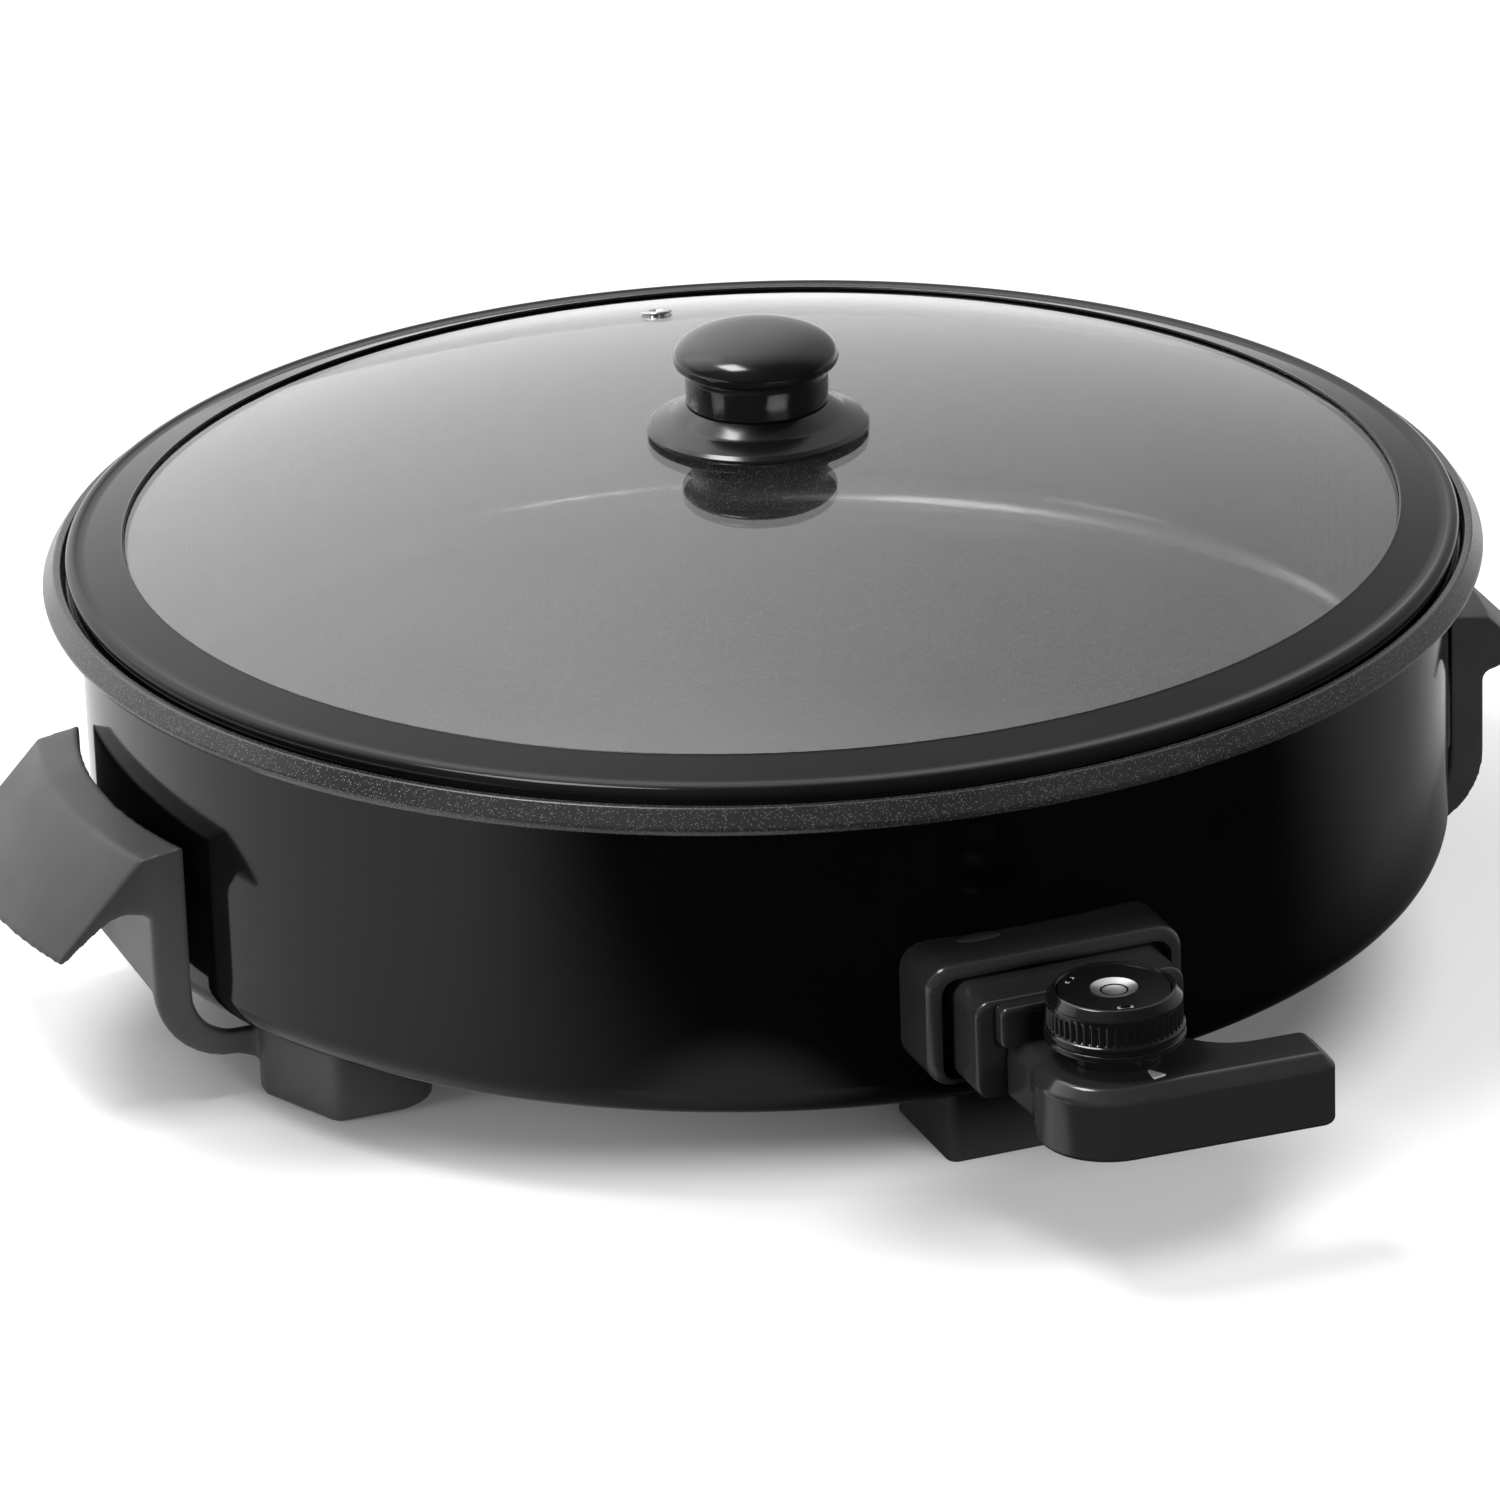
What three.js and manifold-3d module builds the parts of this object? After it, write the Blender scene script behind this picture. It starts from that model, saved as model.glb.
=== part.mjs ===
// Round electric skillet: a non-stick pan hung in a black housing, a glass lid, two handle
// brackets that are also feet, and a plug-in temperature controller with a dial.
// Millimetres, +Z up. The controller points along -Y, the handles lie along X.
import * as THREE from 'three';
import { mergeVertices } from 'three/addons/utils/BufferGeometryUtils.js';
import Module from 'manifold-3d';

const wasm = await Module();
wasm.setup();

// Facets of the round pieces
const PAN_SIDES = 48;
const KNOB_SIDES = 28;
const DIAL_SIDES = 36;
const ROD_SIDES = 12;
const NUT_SIDES = 6;
const CORNER_STEPS = 4;
const CROWN_STEPS = 6;
const HIDDEN_CORNER_STEPS = 2;

// Clearance between touching pieces, and how far a cutter runs past what it cuts
const GAP = 0.3;
const OVERRUN = 5;

// Outer housing
const housing = {
  radius: 199.5,
  sheet: 1.2,
  bottomZ: 25.5,
  topZ: 113.2,
  cornerRadius: 10,
};

// Non-stick pan with its overhanging rim and the ledge that the lid sits on. Reaches are
// measured out from the housing wall, rises up from the housing's bottom or top edge.
const pan = {
  wall: 2.4,
  floor: 2.4,
  floorRise: 29.7,
  cornerRadius: 10,
  hangGap: 0.4,
  ledgeRise: 5.6,
  ledgeReach: 3.9,
  ledgeFillet: 3,
  rimTopRise: 10.1,
  rimTopReach: 5.4,
  rimLip: 1,
  rimEdgeRise: 3.8,
  rimEdgeReach: 10.5,
  rimEdge: 1.4,
};
pan.outerRadius = housing.radius - housing.sheet - pan.hangGap;
pan.innerRadius = pan.outerRadius - pan.wall;
pan.floorZ = housing.bottomZ + pan.floorRise;
pan.floorUnderZ = pan.floorZ - pan.floor;
pan.ledgeZ = housing.topZ + pan.ledgeRise;
pan.ledgeRadius = housing.radius + pan.ledgeReach;
pan.rimTopZ = housing.topZ + pan.rimTopRise;
pan.rimTopRadius = housing.radius + pan.rimTopReach;
pan.rimEdgeZ = housing.topZ + pan.rimEdgeRise;
pan.rimEdgeRadius = housing.radius + pan.rimEdgeReach;

// Glass lid in its U-shaped band
const lid = {
  edgeRise: 6.75,
  domeRadius: 680,
  thickness: 4,
  ledgeClearance: 0.5,
  edgeSetback: 3.3,
  bandSkin: 0.9,
  bandReach: 17.4,
  bandLowerReach: 7.6,
  beadRadius: 1.5,
  ventRadius: 3,
  ventX: 20.5,
  ventInset: 60.6,
  domeSteps: 6,
  eyeletWall: 1,
  eyeletFlange: 5,
  eyeletFlangeHeight: 0.8,
  eyeletLowerFlange: 4,
};
lid.bandOuterRadius = pan.ledgeRadius - lid.ledgeClearance;
lid.bandInnerRadius = lid.bandOuterRadius - lid.bandReach;
lid.glassRadius = lid.bandOuterRadius - lid.edgeSetback;
lid.bandLowerInnerRadius = lid.glassRadius - lid.bandLowerReach;
lid.ventDistance = lid.glassRadius - lid.ventInset;
lid.rise = lid.domeRadius - Math.sqrt(lid.domeRadius ** 2 - lid.glassRadius ** 2);
lid.apexZ = pan.ledgeZ + lid.edgeRise + lid.rise;

// Knob on the lid
const knob = {
  skirtRadius: 32.6,
  skirtEdge: 2,
  skirtHeight: 8,
  skirtFlare: 0.35,
  neckRadius: 20.8,
  neckTop: 16,
  neckUndercut: 1.5,
  capRadius: 24,
  capLowerEdge: 19.6,
  capHeight: 30.2,
  capShoulder: 3,
  boreRadius: 2.4,
  boreDepth: 18,
  screwRadius: 2,
  screwHeadRadius: 5,
  screwHeadHeight: 2.4,
  washerRadius: 11,
  washer: 1.6,
};

// Tubular heating element under the pan floor
const element = {
  tubeRadius: 3.4,
  ringShare: 0.56,
  legInset: 31.5,
  bendRadius: 14,
  halfRingSteps: 14,
  tubeSides: 8,
};
element.z = pan.floorUnderZ - GAP - element.tubeRadius;
element.ringRadius = housing.radius * element.ringShare;
element.legEndY = -(housing.radius - element.legInset);

// Pins in the socket and the pocket for the temperature probe
const pins = {
  spacing: 28,
  radius: 2,
  tipReach: 16,
  tipTaper: 1,
  earthRadius: 2,
  earthRise: 17,
  pocketInner: 3,
  pocketOuter: 3.5,
  pocketInset: 59.5,
  probeRadius: 2.6,
  probeInset: 53.5,
  probeSeatReach: 12.5,
};
pins.z = element.z;
pins.earthZ = pins.z + pins.earthRise;
pins.tipY = -(housing.radius + pins.tipReach);
pins.pocketEndY = -(housing.radius - pins.pocketInset);
pins.probeEndY = -(housing.radius - pins.probeInset);
pins.probeSeatY = -(housing.radius + pins.probeSeatReach);

// Socket guard on the housing wall
const guard = {
  width: 76,
  height: 36,
  rise: 34,
  frontReach: 18,
  backReach: 3.9,
  corner: 7,
  sideWall: 4.2,
  lowerWall: 2,
  upperWall: 4,
  innerCorner: 4,
  lip: 1.4,
  screwRadius: 1.6,
  screwHeadRadius: 2.8,
  screwHeadHeight: 1.6,
  screwSideInset: 13.5,
  screwInset: 11.5,
};
guard.z = housing.bottomZ + guard.rise;
guard.frontY = -(housing.radius + guard.frontReach);
guard.backY = -(housing.radius + guard.backReach);
guard.screwX = guard.width / 2 - guard.screwSideInset;
guard.screwEndY = -(housing.radius - guard.screwInset);

// Plug block of the controller
const block = {
  clearance: 0.5,
  sideClearance: 3,
  backClearance: 0.8,
  length: 29.8,
  corner: 4,
  edge: 1.2,
  sleeveBore: 3.15,
  sleeveOuter: 2.9,
  sleeveInner: 2.3,
  sleeveLength: 16,
};
block.width = guard.width - 2 * (guard.sideWall + block.sideClearance);
block.bottomZ = guard.z - guard.height / 2 + guard.lowerWall + block.clearance;
block.topZ = guard.z + guard.height / 2 - guard.upperWall - block.clearance;
block.z = (block.bottomZ + block.topZ) / 2;
block.height = block.topZ - block.bottomZ;
block.backY = guard.backY - block.backClearance;
block.frontY = block.backY - block.length;

// Controller body: neck and T-shaped grip
const grip = {
  topDrop: 11,
  depth: 20.8,
  neckDepth: 16.4,
  neckHalfWidth: 22.6,
  length: 49,
  leftX: -22.5,
  rightX: 55.5,
  armDepth: 21.8,
  leftDepth: 26,
  leftRadius: 17,
  leftBackRadius: 5,
  rightRadius: 5,
  filletRadius: 17,
  topChamfer: 3.7,
  rootWidth: 51,
  rootRise: 10.5,
  rootSink: 1.5,
  rootLength: 5,
  rootRelief: 0.6,
  edge: 1.8,
  coverInset: 4,
  coverFarInset: 2,
  coverThickness: 2,
  coverScrewInset: 12,
  coverScrewRadius: 1.5,
  coverScrewHeadRadius: 2.6,
  coverScrewHead: 1.3,
  coverScrewLength: 9,
  inletRadius: 4.5,
  inletBore: 2.6,
  inletDepth: 6,
  inletLip: 0.8,
};
grip.topZ = block.topZ - grip.topDrop;
grip.bottomZ = grip.topZ - grip.depth;
grip.neckBottomZ = grip.topZ - grip.neckDepth;
grip.frontY = block.frontY - grip.length;
grip.armBackY = grip.frontY + grip.armDepth;
grip.leftBackY = grip.frontY + grip.leftDepth;

// Dial on the controller
const dial = {
  x: 0.4,
  reach: 22,
  radius: 18.6,
  ribDepth: 0.5,
  ribs: 52,
  ribShare: 0.5,
  wall: 2.6,
  flangeRadius: 20,
  flangeHeight: 3.6,
  flangeEdge: 0.8,
  height: 13.7,
  collarRadius: 12.6,
  collarHeight: 5,
  discDrop: 0.8,
  disc: 2.4,
  spotRadius: 6.5,
  spotHeight: 0.5,
  spotRecess: 0.4,
  hubRadius: 6,
  hubBottom: 2,
  ribTop: 8.6,
  shaftRadius: 3,
  shaftTop: 8,
  shaftDepth: 8,
  pointerDistance: 13.2,
  pointerLength: 7,
  pointerWidth: 5,
  pointerThickness: 1.2,
  pointerStand: 0.4,
  pointerTurn: THREE.MathUtils.degToRad(14),
};
dial.y = block.frontY - dial.reach;

// Handle brackets: grip, leg, arms under the housing and feet. The underside of the wing is
// given as distances out from the hollow and heights.
const handle = {
  offsetY: -3.1,
  halfLength: 49.7,
  cheek: 3.6,
  sweepRadius: 150,
  sweepSides: 64,
  innerReach: 5.5,
  gripTopZ: 79.5,
  ridge: 12,
  ridgeZ: 77.6,
  tip: 37,
  tipTopZ: 51,
  tipEdge: 1,
  underside: [[0, 52], [6.2, 57], [12.4, 60.5], [17.8, 61.8], [22.2, 59.9], [28.9, 55.2], [35.2, 50.4]],
  legReach: 8.1,
  legTopZ: 60,
  webBottomZ: 34.5,
  armTopZ: 19.9,
  channelRadius: 13.5,
  heelRadius: 23,
  heelSteps: 7,
  armBottomZ: 12.9,
  armFootZ: 10.6,
  armInset: 49.5,
};
handle.innerX = housing.radius + handle.innerReach;
handle.legOuterX = housing.radius + handle.legReach;
handle.armInnerX = housing.radius - handle.armInset;
handle.axisX = handle.innerX - handle.sweepRadius;
handle.channelX = handle.axisX + Math.sqrt(handle.sweepRadius ** 2 - handle.halfLength ** 2);

// Feet: those of a bracket stand just past the ends of its grip
const foot = {
  outerInset: 21.5,
  tipInset: 34,
  innerInset: 66.8,
  screwInset: 39.5,
  outerReach: 3.2,
  tipReach: 30.2,
  backLap: 2.2,
  innerRadius: 14,
  edge: 1.2,
  screwReach: 11.2,
  frontHalfWidth: 18.6,
  frontNearInset: 18,
  frontFarInset: 58.5,
  frontScrewX: 8,
  frontCorner: 3,
};
foot.outerX = housing.radius - foot.outerInset;
foot.tipX = housing.radius - foot.tipInset;
foot.innerX = housing.radius - foot.innerInset;
foot.screwX = housing.radius - foot.screwInset;
foot.outerY = handle.halfLength + foot.outerReach;
foot.tipY = handle.halfLength + foot.tipReach;
foot.backY = handle.halfLength - foot.backLap;
foot.screwY = handle.halfLength + foot.screwReach;
foot.frontNearY = -(housing.radius - foot.frontNearInset);
foot.frontFarY = -(housing.radius - foot.frontFarInset);

// Screws that hold brackets and front foot to the housing, with their nuts
const footScrew = {
  radius: 2.2,
  bore: 2.6,
  headRadius: 4.4,
  headBore: 5.4,
  seatZ: 15,
  headHeight: 2.6,
  length: 20,
  nutRadius: 4.6,
  nutHeight: 3.6,
};

const finish = {
  nonStick: new THREE.MeshStandardMaterial({ color: 0x2b2c2e, roughness: 0.55, metalness: 0.3 }),
  glossBlack: new THREE.MeshStandardMaterial({ color: 0x040404, roughness: 0.12, metalness: 0.1 }),
  bakelite: new THREE.MeshStandardMaterial({ color: 0x2a2a2b, roughness: 0.6, metalness: 0 }),
  glossPlastic: new THREE.MeshStandardMaterial({ color: 0x0a0a0b, roughness: 0.18, metalness: 0 }),
  glass: new THREE.MeshStandardMaterial({
    color: 0xaeb0b4, roughness: 0.03, metalness: 0, transparent: true, opacity: 0.4,
  }),
  band: new THREE.MeshStandardMaterial({ color: 0x3a3b3d, roughness: 0.4, metalness: 0.4 }),
  steel: new THREE.MeshStandardMaterial({ color: 0xb8bbbf, roughness: 0.28, metalness: 1 }),
  rubber: new THREE.MeshStandardMaterial({ color: 0x151515, roughness: 0.85, metalness: 0 }),
  lamp: new THREE.MeshStandardMaterial({ color: 0xe6e2da, roughness: 0.2, metalness: 0 }),
};

// Solids and geometry
function toSolid(geometry) {
  const bare = geometry.clone();
  bare.deleteAttribute('normal');
  bare.deleteAttribute('uv');
  const merged = mergeVertices(bare);
  const triVerts = Uint32Array.from(merged.index.array);
  const vertProperties = Float32Array.from(merged.attributes.position.array);
  return new wasm.Manifold(new wasm.Mesh({ numProp: 3, vertProperties, triVerts }));
}

function toGeometry(solid) {
  const mesh = solid.getMesh();
  const geometry = new THREE.BufferGeometry();
  geometry.setAttribute('position', new THREE.Float32BufferAttribute(mesh.vertProperties, 3));
  geometry.setIndex(Array.from(mesh.triVerts));
  return geometry;
}

function cut(geometry, cutters) {
  let solid = toSolid(geometry);
  for (const cutter of cutters) {
    solid = solid.subtract(toSolid(cutter));
  }
  return toGeometry(solid);
}

function join(geometries) {
  let solid = toSolid(geometries[0]);
  for (const other of geometries.slice(1)) {
    solid = solid.add(toSolid(other));
  }
  return toGeometry(solid);
}

function keepInside(geometry, limit) {
  return toGeometry(toSolid(geometry).intersect(toSolid(limit)));
}

// The same solid on the other side of the YZ plane
function mirrorX(geometry) {
  const mirrored = geometry.clone().scale(-1, 1, 1);
  mirrored.setIndex(Array.from(mirrored.index.array).reverse());
  return mirrored;
}

// Points of an arc about (x, y), from one angle to another in degrees
function arc(x, y, radius, from, to, steps = CORNER_STEPS) {
  const points = [];
  for (let i = 0; i <= steps; i++) {
    const angle = THREE.MathUtils.degToRad(from + ((to - from) * i) / steps);
    points.push([x + radius * Math.cos(angle), y + radius * Math.sin(angle)]);
  }
  return points;
}

// Solid of revolution about Z from a closed profile of [radius, height] points
function revolve(profile, sides) {
  let area = 0;
  profile.forEach(([r, z], i) => {
    const [nextR, nextZ] = profile[(i + 1) % profile.length];
    area += r * nextZ - nextR * z;
  });
  const ring = area > 0 ? [...profile] : [...profile].reverse();
  const touchesAxis = profile.some(([r]) => r === 0);
  if (touchesAxis) {
    while (!(ring[0][0] === 0 && ring[ring.length - 1][0] === 0)) {
      ring.push(ring.shift());
    }
  } else {
    ring.push(ring[0]);
  }
  const points = ring.map(([r, z]) => new THREE.Vector2(r, z));
  return new THREE.LatheGeometry(points, sides).rotateX(Math.PI / 2);
}

function shapeOf(points) {
  return new THREE.Shape(points.map(([x, y]) => new THREE.Vector2(x, y)));
}

// Rectangle with rounded corners, centred on (x, y)
function roundedRectangle(x, y, width, height, radius) {
  const right = x + width / 2 - radius;
  const left = x - width / 2 + radius;
  const top = y + height / 2 - radius;
  const bottom = y - height / 2 + radius;
  return [
    ...arc(right, bottom, radius, -90, 0),
    ...arc(right, top, radius, 0, 90),
    ...arc(left, top, radius, 90, 180),
    ...arc(left, bottom, radius, 180, 270),
  ];
}

// Prism along Z between two heights, with its edges rounded over where edge is given
function prism(points, bottomZ, topZ, edge = 0, bevelSegments = 2) {
  const geometry = new THREE.ExtrudeGeometry(shapeOf(points), {
    depth: topZ - bottomZ - 2 * edge,
    bevelEnabled: edge > 0,
    bevelThickness: edge,
    bevelSize: edge,
    bevelOffset: -edge,
    bevelSegments,
  });
  return geometry.translate(0, 0, bottomZ + edge);
}

// Prism along Z with a small edge below and a wide chamfer round its top
function chamferedPrism(points, bottomZ, topZ, edge, chamfer) {
  const lower = prism(points, bottomZ, topZ - chamfer, edge);
  const upper = prism(points, topZ - chamfer * 3, topZ, chamfer, 1);
  return join([lower, upper]);
}

// Prism along Y between two places, from points given as [x, z]
function prismAlongY(points, nearY, farY, edge = 0) {
  return prism(points, -farY, -nearY, edge).rotateX(Math.PI / 2);
}

function rod(radius, bottomZ, topZ, sides = ROD_SIDES) {
  const geometry = new THREE.CylinderGeometry(radius, radius, topZ - bottomZ, sides);
  return geometry.rotateX(Math.PI / 2).translate(0, 0, (bottomZ + topZ) / 2);
}

function rodAlongY(radius, x, z, nearY, farY, sides = ROD_SIDES) {
  const geometry = new THREE.CylinderGeometry(radius, radius, farY - nearY, sides);
  return geometry.translate(x, (nearY + farY) / 2, z);
}

function boxBetween([x0, y0, z0], [x1, y1, z1]) {
  const geometry = new THREE.BoxGeometry(x1 - x0, y1 - y0, z1 - z0);
  return geometry.translate((x0 + x1) / 2, (y0 + y1) / 2, (z0 + z1) / 2);
}

function add(parent, name, geometry, material) {
  const mesh = new THREE.Mesh(geometry, material.clone());
  mesh.name = name;
  parent.add(mesh);
  return mesh;
}

// Pan and housing
function panGeometry() {
  const { innerRadius, outerRadius, cornerRadius, ledgeFillet, rimLip, rimEdge } = pan;
  const wallTopZ = pan.ledgeZ - ledgeFillet;
  const underRimZ = housing.topZ + GAP;
  const profile = [
    [0, pan.floorZ],
    ...arc(innerRadius - cornerRadius, pan.floorZ + cornerRadius, cornerRadius, -90, 0),
    ...arc(innerRadius + ledgeFillet, wallTopZ, ledgeFillet, 180, 90, 2),
    [pan.ledgeRadius, pan.ledgeZ],
    [pan.rimTopRadius - rimLip, pan.rimTopZ - rimLip],
    [pan.rimTopRadius, pan.rimTopZ],
    [pan.rimTopRadius + rimLip, pan.rimTopZ - rimLip / 2],
    [pan.rimEdgeRadius, pan.rimEdgeZ + rimEdge / 2],
    [pan.rimEdgeRadius - rimEdge / 2, pan.rimEdgeZ - rimEdge / 2],
    [housing.radius + rimEdge, underRimZ + rimEdge],
    [housing.radius, underRimZ],
    [outerRadius, underRimZ],
    ...arc(innerRadius - cornerRadius, pan.floorZ + cornerRadius, cornerRadius + pan.floor, 0, -90, HIDDEN_CORNER_STEPS),
    [0, pan.floorUnderZ],
  ];
  return revolve(profile, PAN_SIDES);
}

function housingGeometry() {
  const { radius, sheet, bottomZ, topZ, cornerRadius } = housing;
  const centre = [radius - cornerRadius, bottomZ + cornerRadius];
  const profile = [
    [0, bottomZ],
    ...arc(...centre, cornerRadius, -90, 0),
    [radius, topZ],
    [radius - sheet, topZ],
    ...arc(...centre, cornerRadius - sheet, 0, -90, HIDDEN_CORNER_STEPS),
    [0, bottomZ + sheet],
  ];
  const wallFarY = -(radius - OVERRUN * 2);
  const wallNearY = -(radius + OVERRUN);
  const holes = [-1, 1].map((side) => (
    rodAlongY(pins.radius + GAP, (side * pins.spacing) / 2, pins.z, wallNearY, wallFarY)
  ));
  holes.push(rodAlongY(pins.pocketOuter + GAP, 0, pins.z, wallNearY, wallFarY));
  holes.push(rodAlongY(pins.earthRadius + GAP, 0, pins.earthZ, wallNearY, wallFarY));
  for (const side of [-1, 1]) {
    const x = side * guard.screwX;
    holes.push(rodAlongY(guard.screwRadius + GAP, x, pins.z, wallNearY, wallFarY));
  }
  for (const [x, y] of footScrewPlaces()) {
    holes.push(rod(footScrew.bore, bottomZ - OVERRUN, bottomZ + sheet + OVERRUN).translate(x, y, 0));
  }
  return cut(revolve(profile, PAN_SIDES), holes);
}

// Heating element: an almost closed ring whose two ends run out to the socket
function elementGeometry() {
  const { ringRadius, bendRadius, legEndY, z, tubeRadius, tubeSides } = element;
  const legX = pins.spacing / 2;
  const bendX = legX + bendRadius;
  const bendY = -Math.sqrt((ringRadius + bendRadius) ** 2 - bendX ** 2);
  const joinAngle = THREE.MathUtils.radToDeg(Math.atan2(bendY, bendX));
  const half = [
    [legX, legEndY],
    [legX, (legEndY + bendY) / 2],
    ...arc(bendX, bendY, bendRadius, 180, 180 + joinAngle),
    ...arc(0, 0, ringRadius, joinAngle, 90, element.halfRingSteps).slice(1),
  ];
  const otherHalf = half.slice(0, -1).reverse().map(([x, y]) => [-x, y]);
  const route = [...half, ...otherHalf].map(([x, y]) => new THREE.Vector3(x, y, z));
  const section = shapeOf(arc(0, 0, tubeRadius, 0, 360, tubeSides).slice(1));
  return new THREE.ExtrudeGeometry(section, {
    steps: route.length - 1,
    bevelEnabled: false,
    extrudePath: new THREE.CatmullRomCurve3(route, false, 'centripetal'),
  });
}

function pinGeometry(x, radius, z, farY) {
  const shank = rodAlongY(radius, x, z, pins.tipY + pins.tipTaper, farY);
  const tip = new THREE.CylinderGeometry(radius, radius - pins.tipTaper / 2, pins.tipTaper, ROD_SIDES);
  tip.translate(x, pins.tipY + pins.tipTaper / 2, z);
  return join([shank, tip]);
}

function pocketGeometry() {
  const { pocketOuter, pocketInner, pocketEndY, z } = pins;
  const wall = pocketOuter - pocketInner;
  const tube = rodAlongY(pocketOuter, 0, z, guard.backY, pocketEndY);
  const bore = rodAlongY(pocketInner, 0, z, guard.backY - OVERRUN, pocketEndY - wall);
  return cut(tube, [bore]);
}

// Socket guard: a rounded shroud whose back follows the housing wall
function guardGeometry() {
  const { width, height, z, frontY, corner, sideWall, lowerWall, upperWall, lip } = guard;
  const outline = roundedRectangle(0, z, width, height, corner);
  const shroud = prismAlongY(outline, frontY, -(housing.radius - OVERRUN * 2), lip);
  const innerZ = z + (lowerWall - upperWall) / 2;
  const innerHeight = height - lowerWall - upperWall;
  const recess = roundedRectangle(0, innerZ, width - 2 * sideWall, innerHeight, guard.innerCorner);
  const farY = -(housing.radius - OVERRUN * 2);
  const cutters = [
    prismAlongY(recess, frontY - OVERRUN, guard.backY),
    rod(housing.radius + GAP, 0, housing.topZ, PAN_SIDES),
    rodAlongY(pins.pocketOuter + GAP, 0, pins.z, frontY, farY),
    rodAlongY(pins.earthRadius + GAP, 0, pins.earthZ, frontY, farY),
  ];
  for (const side of [-1, 1]) {
    cutters.push(rodAlongY(pins.radius + GAP, (side * pins.spacing) / 2, pins.z, frontY, farY));
    const x = side * guard.screwX;
    const seatY = guard.backY + guard.screwHeadHeight + GAP;
    cutters.push(rodAlongY(guard.screwRadius + GAP, x, pins.z, frontY, farY));
    cutters.push(rodAlongY(guard.screwHeadRadius + GAP, x, pins.z, frontY, seatY));
  }
  return cut(shroud, cutters);
}

function guardScrewGeometry(side) {
  const x = side * guard.screwX;
  const seatY = guard.backY + guard.screwHeadHeight;
  const shank = rodAlongY(guard.screwRadius, x, pins.z, seatY - guard.screwHeadHeight / 2, guard.screwEndY);
  return join([rodAlongY(guard.screwHeadRadius, x, pins.z, guard.backY, seatY), shank]);
}

// Lid
function domeZ(radius) {
  return lid.apexZ - (lid.domeRadius - Math.sqrt(lid.domeRadius ** 2 - radius ** 2));
}

function domeLine(fromRadius, toRadius, drop, steps) {
  const points = [];
  for (let i = 0; i <= steps; i++) {
    const radius = fromRadius + ((toRadius - fromRadius) * i) / steps;
    points.push([radius, domeZ(radius) - drop]);
  }
  return points;
}

// Group at a place on the dome, with its Z axis along the dome's normal
function onDome(x, y) {
  const seat = new THREE.Group();
  const radius = Math.hypot(x, y);
  const normal = new THREE.Vector3(x, y, Math.sqrt(lid.domeRadius ** 2 - radius ** 2)).normalize();
  seat.position.set(x, y, domeZ(radius));
  seat.quaternion.setFromUnitVectors(new THREE.Vector3(0, 0, 1), normal);
  return seat;
}

function glassGeometry() {
  const { glassRadius, thickness, ventRadius, ventX, ventDistance } = lid;
  const profile = [
    ...domeLine(knob.boreRadius, glassRadius, 0, lid.domeSteps),
    ...domeLine(glassRadius, knob.boreRadius, thickness, lid.domeSteps),
  ];
  const vent = rod(ventRadius, -thickness - OVERRUN, OVERRUN);
  const seat = onDome(ventX, ventDistance);
  seat.updateMatrix();
  return cut(revolve(profile, PAN_SIDES), [vent.applyMatrix4(seat.matrix)]);
}

function bandGeometry() {
  const { bandInnerRadius, bandLowerInnerRadius, bandOuterRadius, bandSkin, beadRadius, thickness } = lid;
  const slotRadius = lid.glassRadius + GAP;
  const beadX = bandOuterRadius - beadRadius;
  const beadZ = domeZ(beadX) + GAP + bandSkin - beadRadius / 2;
  const seatZ = pan.ledgeZ + GAP;
  const skirtRadius = bandOuterRadius - beadRadius / 2;
  const profile = [
    ...domeLine(bandInnerRadius, beadX - beadRadius, -(GAP + bandSkin), 1),
    ...arc(beadX, beadZ, beadRadius, 90, -45, 3),
    [skirtRadius, beadZ - beadRadius],
    [skirtRadius, seatZ],
    [slotRadius, seatZ],
    ...domeLine(slotRadius, bandLowerInnerRadius, thickness + GAP + bandSkin, 1),
    ...domeLine(bandLowerInnerRadius, slotRadius, thickness + GAP, 1),
    ...domeLine(slotRadius, bandInnerRadius, -GAP, 1),
  ];
  return revolve(profile, PAN_SIDES);
}

function eyeletGeometry() {
  const { ventRadius, eyeletWall, eyeletFlange, eyeletFlangeHeight, eyeletLowerFlange, thickness } = lid;
  const shank = ventRadius - GAP;
  const bore = shank - eyeletWall;
  const profile = [
    [bore, -thickness - GAP - eyeletFlangeHeight],
    [eyeletLowerFlange, -thickness - GAP - eyeletFlangeHeight],
    [eyeletLowerFlange, -thickness - GAP],
    [shank, -thickness - GAP],
    [shank, GAP],
    [eyeletFlange, GAP],
    [eyeletFlange - eyeletWall, GAP + eyeletFlangeHeight],
    [bore, GAP + eyeletFlangeHeight],
  ];
  return revolve(profile, ROD_SIDES);
}

// Knob, measured up from the top of the dome
function knobSkirtGeometry() {
  const { boreRadius, skirtRadius, skirtEdge, skirtHeight, neckRadius, skirtFlare } = knob;
  const edgeZ = domeZ(skirtRadius) - lid.apexZ + GAP;
  const profile = [
    [boreRadius, GAP],
    [skirtRadius, edgeZ],
    [skirtRadius, edgeZ + skirtEdge / 2],
    [skirtRadius - skirtEdge / 2, edgeZ + skirtEdge],
    [(skirtRadius + neckRadius) / 2, edgeZ + skirtEdge + (skirtHeight - skirtEdge) * skirtFlare],
    [neckRadius, skirtHeight],
    [boreRadius, skirtHeight],
  ];
  return revolve(profile, KNOB_SIDES);
}

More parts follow.
